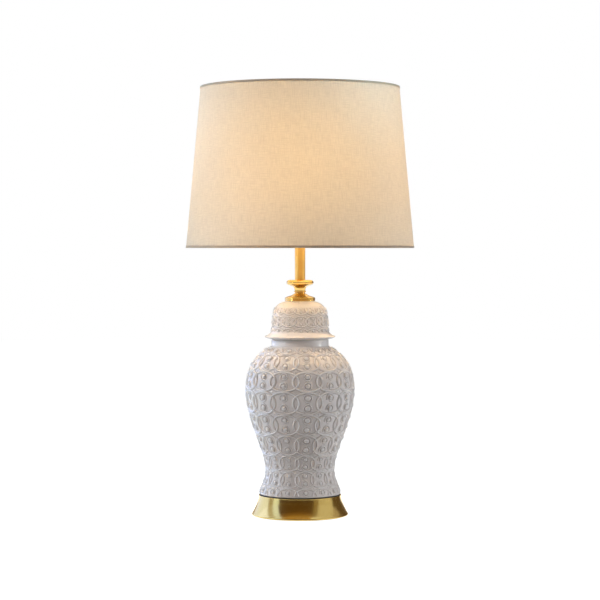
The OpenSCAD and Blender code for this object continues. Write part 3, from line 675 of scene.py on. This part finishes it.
class Wall:
    """The outer side of a thrown piece, from the bottom up, as radius, height and outward slope by length."""

    def __init__(self, outline):
        count = len(outline)
        widest = max(range(count), key=lambda i: outline[i].x)
        up = 1 if outline[(widest + 1) % count].y > outline[widest].y else -1
        below, above = self.side(outline, widest, -up, -1), self.side(outline, widest, up, 1)
        run = below[::-1] + [outline[widest]] + above
        self.r = np.array([p.x for p in run])
        self.z = np.array([p.y for p in run])
        self.s = np.concatenate([[0], np.cumsum(np.hypot(np.diff(self.r), np.diff(self.z)))])
        slope = np.arctan2(np.gradient(self.z), np.gradient(self.r))
        self.nr, self.nz = np.sin(slope), -np.cos(slope)

    @staticmethod
    def side(outline, start, step, way):
        """The points after a start for as long as they climb, or fall where way is -1."""
        points = []
        here = outline[start]
        while True:
            start += step
            following = outline[start % len(outline)]
            if way * (following.y - here.y) <= -1e-7 or following.x <= WALL_END_R:
                return points
            points.append(following)
            here = following

    def length_at(self, z):
        return float(np.interp(z, self.z, self.s))

    def radius_at(self, s):
        return float(np.interp(s, self.s, self.r))

    def spot(self, angle, s):
        """The place and the outward direction at an angle, 0 at the front, and a length up the wall."""
        r, z, nr, nz = (np.interp(s, self.s, values) for values in (self.r, self.z, self.nr, self.nz))
        size = math.hypot(nr, nz)
        nr, nz = nr / size, nz / size
        right, ahead = math.sin(angle), -math.cos(angle)
        return (r * right, r * ahead, z), (nr * right, nr * ahead, nz)


# %% A drawing: lines and dots on a wall
DOT_MARGIN = 0.6 * MM     # least height of a dot above the band's lower edge


class Drawing:
    """Collects lines and dots that are drawn on a wall, with the size of each."""

    def __init__(self, wall, bottom, top):
        self.wall, self.bottom, self.top = wall, bottom, top
        self.points, self.outward, self.size, self.edges = [], [], [], []
        self.dots, self.dots_outward, self.dots_size = [], [], []

    def line(self, places, size, closed=False):
        """A line through (angle, length) places; what lies outside the patterned band is left out."""
        inside = [self.bottom <= s <= self.top for _, s in places]
        first = None
        for i, (angle, s) in enumerate(places):
            if not inside[i]:
                continue
            spot, outward = self.wall.spot(angle, s)
            self.points.append(spot)
            self.outward.append(outward)
            self.size.append(size)
            here = len(self.points) - 1
            if i and inside[i - 1]:
                self.edges.append((here - 1, here))
            if i == 0:
                first = here
        if closed and first is not None and inside[-1]:
            self.edges.append((len(self.points) - 1, first))

    def dot(self, angle, s, size):
        if self.bottom + DOT_MARGIN <= s <= self.top:
            spot, outward = self.wall.spot(angle, s)
            self.dots.append(spot)
            self.dots_outward.append(outward)
            self.dots_size.append(size)


def oval(centre, s_centre, half_width, half_height, radius, count, power):
    """Places round a flat-domed oval on an unrolled wall."""
    places = []
    for i in range(count):
        t = 2 * math.pi * (i + 0.5) / count
        c, s = math.cos(t), math.sin(t)
        x = half_width * math.copysign(abs(c) ** (2 / power), c)
        y = half_height * math.copysign(abs(s) ** (2 / power), s)
        places.append((centre + x / radius, s_centre + y))
    return places


def hook(centre, s_centre, reach, radius, first, turn, closing):
    """Places along a ring round a bead, from an angle through a turn; closing draws it in at its end."""
    steps = max(10, round(abs(turn) / 15))
    places = []
    for i in range(steps + 1):
        angle = math.radians(first + turn * i / steps)
        r = reach * (1 - closing * (i / steps) ** 2)
        places.append((centre + r * math.cos(angle) / radius, s_centre + r * math.sin(angle)))
    return places


# %% Geometry Nodes: ridges along lines
def new_tree(name, inputs):
    """A Geometry Nodes tree that takes a geometry, some named inputs and a material."""
    group = bpy.data.node_groups.new(name, "GeometryNodeTree")
    for label, kind in (("Geometry", "Geometry"), *inputs.items(), ("Material", "Material")):
        group.interface.new_socket(label, in_out="INPUT", socket_type="NodeSocket" + kind)
    group.interface.new_socket("Geometry", in_out="OUTPUT", socket_type="NodeSocketGeometry")
    given = add(group, "NodeGroupInput")
    return group, {socket.name: socket for socket in given.outputs if socket.name}


def end_tree(group, geometry, material):
    """Real meshes with a material, because an export drops instances."""
    real = output(group, "GeometryNodeRealizeInstances", {"Geometry": geometry})
    dressed = output(group, "GeometryNodeSetMaterial", {"Geometry": real, "Material": material})
    add(group, "NodeGroupOutput", {"Geometry": dressed})


def attribute(group, name, kind):
    """Reads a named attribute; kind is FLOAT or FLOAT_VECTOR."""
    node = add(group, "GeometryNodeInputNamedAttribute", {"Name": name}, data_type=kind)
    return next(s for s in node.outputs if s.enabled and s.name == "Attribute")


ridges, given = new_tree("Raised lines", {
    "Width": "Float", "Height": "Float", "Sink": "Float", "Section points": "Int"})
last = minus(ridges, given["Section points"], 1.0)
index = output(ridges, "GeometryNodeInputIndex")
across = minus(ridges, math_node(ridges, "DIVIDE", times(ridges, index, 2.0), last), 1.0)
wave = math_node(ridges, "COSINE", times(ridges, across, math.pi))
bell = times(ridges, plus(ridges, wave, 1.0), 0.5)
rise = minus(ridges, times(ridges, bell, given["Height"]), given["Sink"])
aside = times(ridges, times(ridges, across, given["Width"]), 0.5)
section = output(ridges, "GeometryNodeMeshLine", {"Count": given["Section points"], "Offset": (0, 0, 0)})
shape = output(ridges, "ShaderNodeCombineXYZ", {0: rise, 1: aside})
section = output(ridges, "GeometryNodeSetPosition", {"Geometry": section, "Position": shape})
# The crest value drives painted shade at a ridge's foot and a painted highlight on its top.
section = output(ridges, "GeometryNodeStoreNamedAttribute", {
    "Geometry": section, "Name": "crest", "Value": bell}, data_type="FLOAT", domain="POINT")
section = output(ridges, "GeometryNodeMeshToCurve", {"Mesh": section})
section = output(ridges, "GeometryNodeSetSplineCyclic", {"Geometry": section, "Cyclic": True})
drawn = output(ridges, "GeometryNodeMeshToCurve", {"Mesh": given["Geometry"]})
upright = output(ridges, "GeometryNodeSetCurveNormal", {
    "Curve": drawn, "Normal": attribute(ridges, "outward", "FLOAT_VECTOR")}, mode="FREE")
swept = output(ridges, "GeometryNodeCurveToMesh", {
    "Curve": upright, "Profile Curve": section,
    "Scale": attribute(ridges, "size", "FLOAT"), "Fill Caps": True})
smooth = output(ridges, "GeometryNodeSetShadeSmooth", {"Geometry": swept})
end_tree(ridges, smooth, given["Material"])

# %% Geometry Nodes: a small piece on every dot
studs, given = new_tree("Beads on dots", {"Bead": "Object"})
bead = add(studs, "GeometryNodeObjectInfo", {"Object": given["Bead"]}, transform_space="ORIGINAL")
up = output(studs, "FunctionNodeAlignRotationToVector", {
    "Vector": attribute(studs, "outward", "FLOAT_VECTOR")}, axis="Z")
placed = output(studs, "GeometryNodeInstanceOnPoints", {
    "Points": given["Geometry"], "Instance": bead.outputs["Geometry"], "Rotation": up,
    "Scale": attribute(studs, "size", "FLOAT")})
end_tree(studs, placed, given["Material"])


# %% Run a tree on points and keep the result as a plain mesh
def run_tree(name, group, points, edges, outward, sizes, values):
    """The mesh that a tree makes of some points and edges, which carry directions and sizes."""
    mesh = bpy.data.meshes.new(name)
    mesh.from_pydata(points, edges, [])
    mesh.attributes.new("outward", "FLOAT_VECTOR", "POINT").data.foreach_set("vector", np.ravel(outward))
    mesh.attributes.new("size", "FLOAT", "POINT").data.foreach_set("value", sizes)
    holder = in_scene(name, mesh)
    modifier = holder.modifiers.new(name, "NODES")
    modifier.node_group = group
    for item in group.interface.items_tree:
        if item.in_out == "INPUT" and item.name in values:
            modifier[item.identifier] = values[item.name]
    holder.update_tag()
    made = with_modifiers(holder)
    bpy.data.objects.remove(holder)
    return made


def faces_outwards(mesh):
    """Turns a closed mesh the right way round, judged by its volume."""
    mesh.calc_loop_triangles()
    co = np.zeros(len(mesh.vertices) * 3)
    mesh.vertices.foreach_get("co", co)
    co = co.reshape(-1, 3)
    tri = np.zeros(len(mesh.loop_triangles) * 3, int)
    mesh.loop_triangles.foreach_get("vertices", tri)
    a, b, c = (co[tri.reshape(-1, 3)[:, k]] for k in range(3))
    volume = float(np.einsum("ij,ij->i", a, np.cross(b, c)).sum() / 6)
    if volume < 0:
        mesh.flip_normals()
    return abs(volume)


# %% [markdown]
# ## The jar's pattern
#
# Fourteen columns go round the jar. Their width follows the wall, from 23 mm at the waist to 37 mm at the
# belly, and the rows grow with it. Columns with beads and columns with scrolls take turns.

# %% Draw the pattern
FULL_PITCH = 37 * MM      # column width at the belly, where the ridges have their full size
LEAST_SIZE = 0.66         # size of the ridges where columns are narrow
OVAL_HALF = 0.62          # half width of an oval in columns; above 0.5, so that neighbours overlap
POINT_GAP = 2.1 * MM      # distance between the points round an oval
REACH = 0.37              # radius of rings and scrolls, as a share of an oval's half height
OFFSET = 0.46             # how far above and below the middle they sit, as such a share
BEAD_REACH = 4.7 * MM     # radius of a bead at full size
SMALL_BEAD = 0.30         # size of the beads between the rows

# The two curls of a link: size of bead and line, first angle and turn in degrees, and how far it closes in.
SCROLL = {"bead": 0.62, "line": 0.64, "first": 205, "turn": -330, "closing": 0.35}
RING = {"bead": 0.72, "line": 0.60, "first": 0, "turn": 345, "closing": 0}


def draw_cell(drawing, centre, low_s, high_s, links, curl):
    """One oval with two ringed beads or two scrolls in it."""
    middle, half = (low_s + high_s) / 2, (high_s - low_s) / 2
    radius = drawing.wall.radius_at(min(max(middle, drawing.bottom), drawing.top))
    pitch = 2 * math.pi * radius / links["columns"]
    size = min(1.0, max(LEAST_SIZE, pitch / FULL_PITCH))
    count = int(2 * (2 * OVAL_HALF * pitch + 2 * half) / POINT_GAP)
    link = oval(centre, middle, OVAL_HALF * pitch, links["tall"] * half, radius, count, links["power"])
    drawing.line(link, size, closed=True)
    reach = REACH * half
    for s in (middle - OFFSET * half, middle + OFFSET * half):
        drawing.dot(centre, s, curl["bead"] * reach / BEAD_REACH)
        drawing.line(hook(centre, s, reach, radius, curl["first"], curl["turn"], curl["closing"]),
                     curl["line"] * size, closed=curl is RING)
    drawing.dot(centre + math.pi / links["columns"], high_s, SMALL_BEAD * size)


def draw_band(wall, links):
    """Every cell of a wall's pattern, with part cells at its ends."""
    bottom, top = (wall.length_at(z * MM) for z in links["band"])
    drawing = Drawing(wall, bottom, top)
    edges = [wall.length_at(z * MM) for z in links["rows"]]
    low, high = edges[1] - edges[0], edges[-1] - edges[-2]
    edges = [edges[0] - low] + edges + [edges[-1] + high]
    for column in range(links["columns"]):
        centre = links["first"] + 2 * math.pi * column / links["columns"]
        curl = SCROLL if column % 2 and links["scrolls"] else RING
        for low_s, high_s in zip(edges, edges[1:]):
            draw_cell(drawing, centre, low_s, high_s, links, curl)
    print("lines:", len(drawing.edges), "dots:", len(drawing.dots))
    return drawing


# %% Make the raised pattern of a wall
RIDGE_WIDTH = 4.6 * MM
RIDGE_SINK = 0.12 * MM
BEAD_SINK = 0.35 * MM
BEAD_RISE = 1.3           # height of a bead, in ridge heights


def bead_shape(height):
    """A low dome that sinks a little into the wall."""
    outline = [Vector((0, -BEAD_SINK)), Vector((BEAD_REACH, -BEAD_SINK))]
    outline += [Vector((BEAD_REACH * x, height * (0.5 + 0.5 * math.cos(math.pi * x ** 3))))
                for x in np.linspace(1, 0, 10)]
    bead = spin("dome", outline, 20, porcelain)
    glaze_and_shade(bead, height)
    return bead


def raised_pattern(drawing, height):
    """The meshes of the ridges and the beads of a drawing."""
    lines = run_tree("ridges", ridges, drawing.points, drawing.edges, drawing.outward, drawing.size, {
        "Width": RIDGE_WIDTH, "Height": height + RIDGE_SINK, "Sink": RIDGE_SINK, "Section points": 7,
        "Material": porcelain})
    dome = bead_shape(BEAD_RISE * height)
    dots = run_tree("beads", studs, drawing.dots, [], drawing.dots_outward, drawing.dots_size,
                    {"Bead": dome, "Material": porcelain})
    bpy.data.objects.remove(dome)
    for mesh in (lines, dots):
        print("pattern volume (mm3):", round(faces_outwards(mesh) * 1e9), "faces:", len(mesh.polygons))
    return lines, dots


def mesh_only(piece):
    """The mesh of a piece, whose object goes."""
    mesh = piece.data
    bpy.data.objects.remove(piece)
    return mesh


def pattern_piece(name, meshes, body, slot, *nodes):
    """One object of several meshes, which rides on a body."""
    parts = [in_scene(name, mesh) for mesh in meshes]
    bpy.ops.object.select_all(action="DESELECT")
    for part in parts:
        part.select_set(True)
    bpy.context.view_layer.objects.active = parts[0]
    if len(parts) > 1:
        bpy.ops.object.join()
    piece = parts[0]
    piece.data.set_sharp_from_angle(angle=math.radians(60))
    settle(piece, body, slot, *nodes)
    return piece


def thrown(name, node):
    """A thrown piece with a plain glazed wall, and that wall to draw on."""
    outline = fine_outline(outline_of(node), 0.5 * MM)
    piece = spin(name, outline, 192, porcelain)
    glaze_and_shade(piece)
    return piece, Wall(outline)


# %% The jar
JAR_RIDGE = 1.8 * MM
JAR_LINKS = {
    "columns": 14, "first": math.radians(8.3), "scrolls": True,
    "tall": 0.95, "power": 2.15,        # an oval's share of its row, and how square it is
    "band": (34.4, 258.6),              # lowest and highest height of the pattern in mm
    "rows": [47.2, 72.4, 97.0, 128.4, 160.6, 194.9, 224.9, 249.6],      # heights between rows in mm
}
jar, jar_wall = thrown("thrown_jar", "jar")
settle(jar, "lamp_stand", "porcelain", "jar")
jar_lines, jar_dots = raised_pattern(draw_band(jar_wall, JAR_LINKS), JAR_RIDGE)
pattern_piece("jar_raised_lines", [jar_lines], "lamp_stand", "porcelain")
pattern_piece("jar_beads", [jar_dots], "lamp_stand", "porcelain")
print("jar wall length (mm):", round(jar_wall.s[-1] / MM, 1), "faces:", len(jar.data.polygons))

# %% [markdown]
# ## The lid
#
# The lid is thrown and carved the same way. Its cells are little more than half the size and rounder, with
# ringed beads in each, and its relief is steep for its size. Its shoulder and flared rim stay plain.

# %% The lid and its pattern
LID_RIDGE = 2.4 * MM
LID_LINKS = {
    "columns": 14, "first": math.radians(1.6), "scrolls": False, "tall": 0.86, "power": 1.85,
    "band": (282.6, 319.5), "rows": [289.6, 308.2],
}
plain_lid, lid_wall = thrown("thrown_lid", "lid")
lid_lines, lid_dots = raised_pattern(draw_band(lid_wall, LID_LINKS), LID_RIDGE)
lid = pattern_piece("carved_lid", [mesh_only(plain_lid), lid_lines, lid_dots], "lamp_stand", "porcelain",
                    "lid")
print("lid faces:", len(lid.data.polygons))

# %% [markdown]
# ## The bulb
#
# The bulb is a frosted glass globe with a warm light in it. Two lamp objects inside the glass make that
# light: one shines all round and lights the shade, the other is a spot that shines down on the lid and the
# shoulder. The glass and what is in it throw no shade, and the glass glows a little by itself, so it reads as
# lit from below and from above the shade.

# %% Frosted glass
glass, tree = start_material("frosted_glass")
place = object_place(tree)
frost = noise(tree, place, 900, 2)
drift = spread(tree, noise(tree, place, 60, 2), 0, 1)
principled(tree, {
    "Base Color": blend_colours(tree, drift, (0.93, 0.90, 0.84), (0.97, 0.95, 0.90)),
    "Roughness": spread(tree, frost, 0.30, 0.42),
    "Transmission Weight": 0.25,
    "Emission Color": (1.0, 0.80, 0.54, 1),
    "Emission Strength": 1.6,
    "Normal": bump(tree, frost, 10 * UM),
})
finishes["frosted_glass"] = glass
globe = turned("bulb_glass", "bulb_globe", "frosted_glass", columns=96, edge=0.1 * MM)
globe.visible_shadow = False

# %% Threaded bulb cap, wound by Geometry Nodes
THREAD_TURNS = 4.5
THREAD_PITCH = 3.6 * MM
THREAD_R = 12.15 * MM
THREAD_START = 2.0 * MM   # above the cap's lower edge
SLEEVE_BORE = 11.9 * MM
SLEEVE_R = 12.3 * MM
SHOULDER_H = 3 * MM       # height of the cap's flare towards the glass
FLARE_WALL = 0.4 * MM
winding, given = new_tree("Screw thread", {
    name: "Float" for name in ("Turns", "Radius", "Pitch", "Wire", "Start height")})
coil = output(winding, "GeometryNodeCurveSpiral", {
    "Resolution": 40, "Rotations": given["Turns"], "Start Radius": given["Radius"],
    "End Radius": given["Radius"], "Height": times(winding, given["Turns"], given["Pitch"])})
wire = output(winding, "GeometryNodeCurvePrimitiveCircle", {"Resolution": 10, "Radius": given["Wire"]})
rope = output(winding, "GeometryNodeCurveToMesh", {
    "Curve": coil, "Profile Curve": wire, "Fill Caps": True})
upwards = output(winding, "ShaderNodeCombineXYZ", {2: given["Start height"]})
lifted = output(winding, "GeometryNodeTransform", {"Geometry": rope, "Translation": upwards})
smooth = output(winding, "GeometryNodeSetShadeSmooth", {"Geometry": lifted})
end_tree(winding, smooth, given["Material"])

low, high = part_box("bulb_screw_cap")
cap_metal = finishes["bulb_cap_metal"]
thread = run_tree("cap_thread", winding, [(0, 0, 0)], [], [(0, 0, 1)], [1.0], {
    "Turns": THREAD_TURNS, "Radius": THREAD_R, "Pitch": THREAD_PITCH, "Wire": 0.8 * MM,
    "Start height": low.z + THREAD_START, "Material": cap_metal})
faces_outwards(thread)
shoulder_z = high.z - SHOULDER_H
sleeve = [Vector(p) for p in ((SLEEVE_BORE, low.z), (SLEEVE_R, low.z), (SLEEVE_R, shoulder_z),
                              (high.x, high.z), (high.x - FLARE_WALL, high.z), (SLEEVE_BORE, shoulder_z))]
sleeve_mesh = mesh_only(spin("cap_sleeve", fine_outline(sleeve, 0.15 * MM), 80, cap_metal))
pattern_piece("threaded_bulb_cap", [sleeve_mesh, thread], "bulb", "bulb_cap_metal", "bulb_screw_cap")

# %% The light in the bulb
BULB_LIGHT = (1.0, 0.67, 0.34)
low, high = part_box("bulb_globe")
light_source("bulb_light", "POINT", (0, 0, high.z - 20 * MM), 1.58, BULB_LIGHT, shadow_soft_size=15 * MM)
light_source("bulb_light", "SPOT", (0, 0, high.z - 30 * MM), 2.9, BULB_LIGHT, shadow_soft_size=13 * MM,
             spot_size=math.radians(36), spot_blend=0.5)
print("top of the bulb (mm):", round(high.z / MM, 1))

# %% [markdown]
# ## Linen
#
# A linen shade is a sheet of woven cloth on a stiff white liner. Two things make linen look like linen: the
# plain weave, with threads of under a millimetre, and slubs, which are the thick places in a hand-spun
# thread. Lit from behind, thick threads look darker. The weave follows the cloth and not the room, so it
# reads the piece's own UV map, which holds true lengths in metres.


# %% Weave pattern
THREAD = 0.85 * MM


def weave(tree, uv):
    """Height of a plain weave from 0 to 1, its slubs, and how thick its threads are at a place."""
    u, v, _ = add(tree, "ShaderNodeSeparateXYZ", {0: uv}).outputs
    wobble = spread(tree, noise(tree, uv, 260, 2), -0.35, 0.35)

    def ridge(along):
        turn = plus(tree, times(tree, along, 2 * math.pi / THREAD), wobble)
        return math_node(tree, "ABSOLUTE", math_node(tree, "COSINE", times(tree, turn, 0.5)))

    over_u, over_v = (math_node(tree, "SINE", times(tree, along, math.pi / THREAD)) for along in (u, v))
    on_top = spread(tree, times(tree, over_u, over_v), 0, 1, -0.4, 0.4)
    height = output(tree, "ShaderNodeMix", {0: on_top, 2: ridge(u), 3: ridge(v)})
    weft = noise(tree, uv, 1.0, 2, (60, 850, 1))
    warp = noise(tree, uv, 1.0, 2, (850, 60, 1))
    slubs = math_node(tree, "MAXIMUM", spread(tree, weft, 0, 1, 0.60, 0.82),
                      spread(tree, warp, 0, 1, 0.62, 0.84))
    threads = plus(tree, spread(tree, weft, 0, 0.5, 0.25, 0.75), spread(tree, warp, 0, 0.5, 0.25, 0.75))
    return height, slubs, threads


def linen(name, dark, light, through, share, forward):
    """Woven linen: what it reflects, and what it lets through, straight on and scattered."""
    material, tree = start_material(name)
    uv = output(tree, "ShaderNodeUVMap", uv_map="weave")
    height, slubs, threads = weave(tree, uv)
    drift = spread(tree, noise(tree, object_place(tree), 35, 3), -0.12, 0.12)
    colour = blend_colours(tree, plus(tree, threads, drift), dark, light)
    colour = blend_colours(tree, times(tree, slubs, 0.35), colour, dark)
    level = plus(tree, times(tree, height, 0.6), times(tree, slubs, 0.5))
    normal = bump(tree, level, 180 * UM, 0.8)
    cloth = output(tree, "ShaderNodeBsdfPrincipled", {
        "Base Color": colour, "Roughness": 0.9, "Sheen Weight": 0.15, "Specular IOR Level": 0.2,
        "Normal": normal})
    thick = plus(tree, times(tree, slubs, 1.7), times(tree, minus(tree, 1.0, threads), 1.5))
    shine = blend_colours(tree, thick, through, tuple(0.62 * c for c in through))
    scattered = output(tree, "ShaderNodeBsdfTranslucent", {"Color": shine, "Normal": normal})
    straight = output(tree, "ShaderNodeBsdfRefraction", {"Color": shine, "Roughness": 1.0, "IOR": 1.9})
    passed = mix_shaders(tree, forward, scattered, straight)
    close_material(tree, mix_shaders(tree, share, cloth, passed))
    return material


finishes["linen"] = linen("slub_linen", (0.74, 0.73, 0.70), (0.82, 0.82, 0.80), (0.98, 0.87, 0.66),
                          share=0.50, forward=0.50)
finishes["hem_tape"] = linen("hem_linen", (0.66, 0.59, 0.49), (0.76, 0.69, 0.58), (0.92, 0.74, 0.52),
                             share=0.40, forward=0.0)


# %% The lining: white inside, and thin enough to let light through
def lining(name, dark, light, passes, one_way=False):
    """A white sheet; passes is the share that goes through of straight light and of scattered light."""
    material, tree = start_material(name)
    place = object_place(tree)
    colour = blend_colours(tree, spread(tree, noise(tree, place, 80, 3), 0, 1), dark, light)
    sheet = output(tree, "ShaderNodeBsdfPrincipled", {
        "Base Color": colour, "Roughness": 0.55, "Normal": bump(tree, noise(tree, place, 700, 2), 30 * UM)})
    rays = add(tree, "ShaderNodeLightPath").outputs
    indirect = math_node(tree, "MAXIMUM", rays["Is Diffuse Ray"], rays["Is Transmission Ray"])
    share = plus(tree, times(tree, rays["Is Shadow Ray"], passes[0]), times(tree, indirect, passes[1]))
    if one_way:
        share = times(tree, share, add(tree, "ShaderNodeNewGeometry").outputs["Backfacing"])
    clear = output(tree, "ShaderNodeBsdfTransparent")
    close_material(tree, mix_shaders(tree, share, sheet, clear))
    return material


finishes["shade_liner"] = lining("styrene_lining", (0.84, 0.83, 0.80), (0.90, 0.89, 0.86), (0.03, 0.92),
                                one_way=True)
linen_back = lining("linen_back", (0.70, 0.66, 0.60), (0.78, 0.75, 0.69), (0.95, 0.95))


# %% [markdown]
# ## The shade's cloth
#
# The cloth was one flat piece, a sector of a ring, before it was rolled round the wire rings and glued to
# the liner. It meets itself in a lapped seam at the back. The piece below has both faces of the cloth, and
# its outer face steps out by a hair where the seam lies.

# %% The cloth
SEAM_LAP = 0.32 * MM      # how far the cloth steps out at its seam
SEAM_HALF = 7 * MM        # half width of the seam
SEAM_RISE = 1.2 * MM      # the step's steep side
SEAM_FALL = 5 * MM        # its gentle side
SLACK = 0.10 * MM         # how unevenly the cloth lies on the liner
CLOTH_EDGE = 0.6 * MM     # length of the cut edge in the weave's map


def cone_sheet(name, node, columns, rows, outer_material, inner_material, lap=0.0):
    """A thin cone-shaped sheet with two faces, true-length UVs, and a lapped seam at the back."""
    outline = outline_of(node)
    zs = sorted({round(p.y, 6) for p in outline})
    bottom, top = zs[0], zs[-1]
    low_radii, high_radii = (sorted(p.x for p in outline if abs(p.y - z) < 1e-5) for z in (bottom, top))
    slant = math.hypot(top - bottom, low_radii[-1] - high_radii[-1])
    around = 2 * math.pi * low_radii[-1] / columns
    points, faces, uvs, inner_faces = [], [], [], []

    def radius(t, layer, angle):
        r = low_radii[layer] * (1 - t) + high_radii[layer] * t
        if layer and lap:
            away = ((angle - math.pi / 2 + math.pi) % (2 * math.pi) - math.pi) * r
            rise = min(1.0, max(0.0, (away + SEAM_HALF) / SEAM_RISE))
            r += lap * rise * min(1.0, max(0.0, (SEAM_HALF - away) / SEAM_FALL))
            r += SLACK * (0.5 + 0.5 * math.sin(5 * angle + 2.0) * math.sin(3.1 * t + 1.0))
        return r

    for layer in (0, 1):
        for j in range(rows + 1):
            for i in range(columns):
                a = 2 * math.pi * i / columns + math.pi / 2
                t = j / rows
                r = radius(t, layer, a)
                points.append((r * math.cos(a), r * math.sin(a), bottom + (top - bottom) * t))

    def quad(*corners, inner=False):
        """A face from corners that give a layer, a row, a column, and the length up the cloth."""
        faces.append([(layer * (rows + 1) + j) * columns + i % columns for layer, j, i, _ in corners])
        uvs.extend((around * i, v) for _, _, i, v in corners)
        inner_faces.append(inner)

    for j in range(rows):
        v0, v1 = slant * j / rows, slant * (j + 1) / rows
        for i in range(columns):
            quad((1, j, i, v0), (1, j, i + 1, v0), (1, j + 1, i + 1, v1), (1, j + 1, i, v1))
            quad((0, j, i + 1, v0), (0, j, i, v0), (0, j + 1, i, v1), (0, j + 1, i + 1, v1), inner=True)
    past = slant + CLOTH_EDGE
    for i in range(columns):
        quad((0, 0, i, -CLOTH_EDGE), (0, 0, i + 1, -CLOTH_EDGE), (1, 0, i + 1, 0), (1, 0, i, 0))
        quad((1, rows, i, slant), (1, rows, i + 1, slant), (0, rows, i + 1, past), (0, rows, i, past))
    piece = new_piece(name, points, faces, outer_material)
    piece.data.materials.append(inner_material)
    piece.data.polygons.foreach_set("material_index", [int(x) for x in inner_faces])
    map_weave(piece, uvs)
    piece.data.set_sharp_from_angle(angle=math.radians(40))
    return piece, low_radii[-1], high_radii[-1], slant


def map_weave(piece, uvs):
    """Gives a piece the UV map that the weave reads."""
    piece.data.uv_layers.new(name="weave").data.foreach_set("uv", np.ravel(uvs))


cloth, big, small, slant = cone_sheet("shade_linen", "shade_cloth", 360, 36, finishes["linen"], linen_back,
                                      lap=SEAM_LAP)
settle(cloth, "shade", "linen", "shade_cloth")
liner = cone_sheet("shade_lining", "shade_liner", 180, 12, linen_back, finishes["shade_liner"])[0]
settle(liner, "shade", "shade_liner", "shade_liner")


# %% [markdown]
# ## Hems
#
# A strip of linen tape is folded over each edge of the shade, round the wire behind it. The tape is turned
# from the solid's outline, and its UV map lets the weave run along it.

# %% Hem tapes
def hem(name, node):
    """A folded tape round the shade's edge."""
    outline = fine_outline(outline_of(node), 0.18 * MM)
    columns = 240
    piece = spin(name, outline, columns, finishes["hem_tape"])
    lengths = [0.0]
    for a, b in zip(outline, outline[1:] + outline[:1]):
        lengths.append(lengths[-1] + (b - a).length)
    around = 2 * math.pi * max(p.x for p in outline) / columns
    flat = []
    for face in piece.data.polygons:
        j, i = divmod(face.index, columns)
        u0, u1, v0, v1 = around * i, around * (i + 1), lengths[j], lengths[j + 1]
        flat += [(u0, v0), (u1, v0), (u1, v1), (u0, v1)]
    map_weave(piece, flat)
    settle(piece, "shade", "hem_tape", node)
    return piece


top_tape = hem("top_hem_tape", "top_hem")
bottom_tape = hem("bottom_hem_tape", "bottom_hem")

# %% [markdown]
# ## Felt
#
# A disc of green felt keeps the lamp from marking the table. Felt has no weave: it is a mat of hairs, so its
# bump is a coarse and a fine noise together, and a sheen brightens it at grazing angles.

# %% Felt pad
felt, tree = start_material("green_felt")
place = object_place(tree)
hairs = noise(tree, place, 900, 4)
tufts = noise(tree, place, 260, 3)
principled(tree, {
    "Base Color": blend_colours(tree, spread(tree, hairs, 0, 1),
                                (0.015, 0.032, 0.020), (0.040, 0.070, 0.048)),
    "Roughness": 0.95,
    "Sheen Weight": 0.6,
    "Sheen Roughness": 0.5,
    "Normal": bump(tree, plus(tree, hairs, tufts), 400 * UM),
})
finishes["felt"] = felt
turned("felt_disc", "felt_pad", "felt", edge=0.6 * MM)

# %% [markdown]
# ## Finishing the remaining solids
#
# The solids that keep their own mesh get the finish of their slot in the record.

# %% Assign finishes
slot_of = {part["node"]: part["material_slot"] for part in frame["record"]["subparts"]}
for name, node in frame["nodes"].items():
    material = finishes[slot_of[name]]
    for slot in node.material_slots:
        slot.material = material
frame["nodes"]["bulb_led_column"].visible_shadow = False
print("nodes dressed:", len(frame["nodes"]))
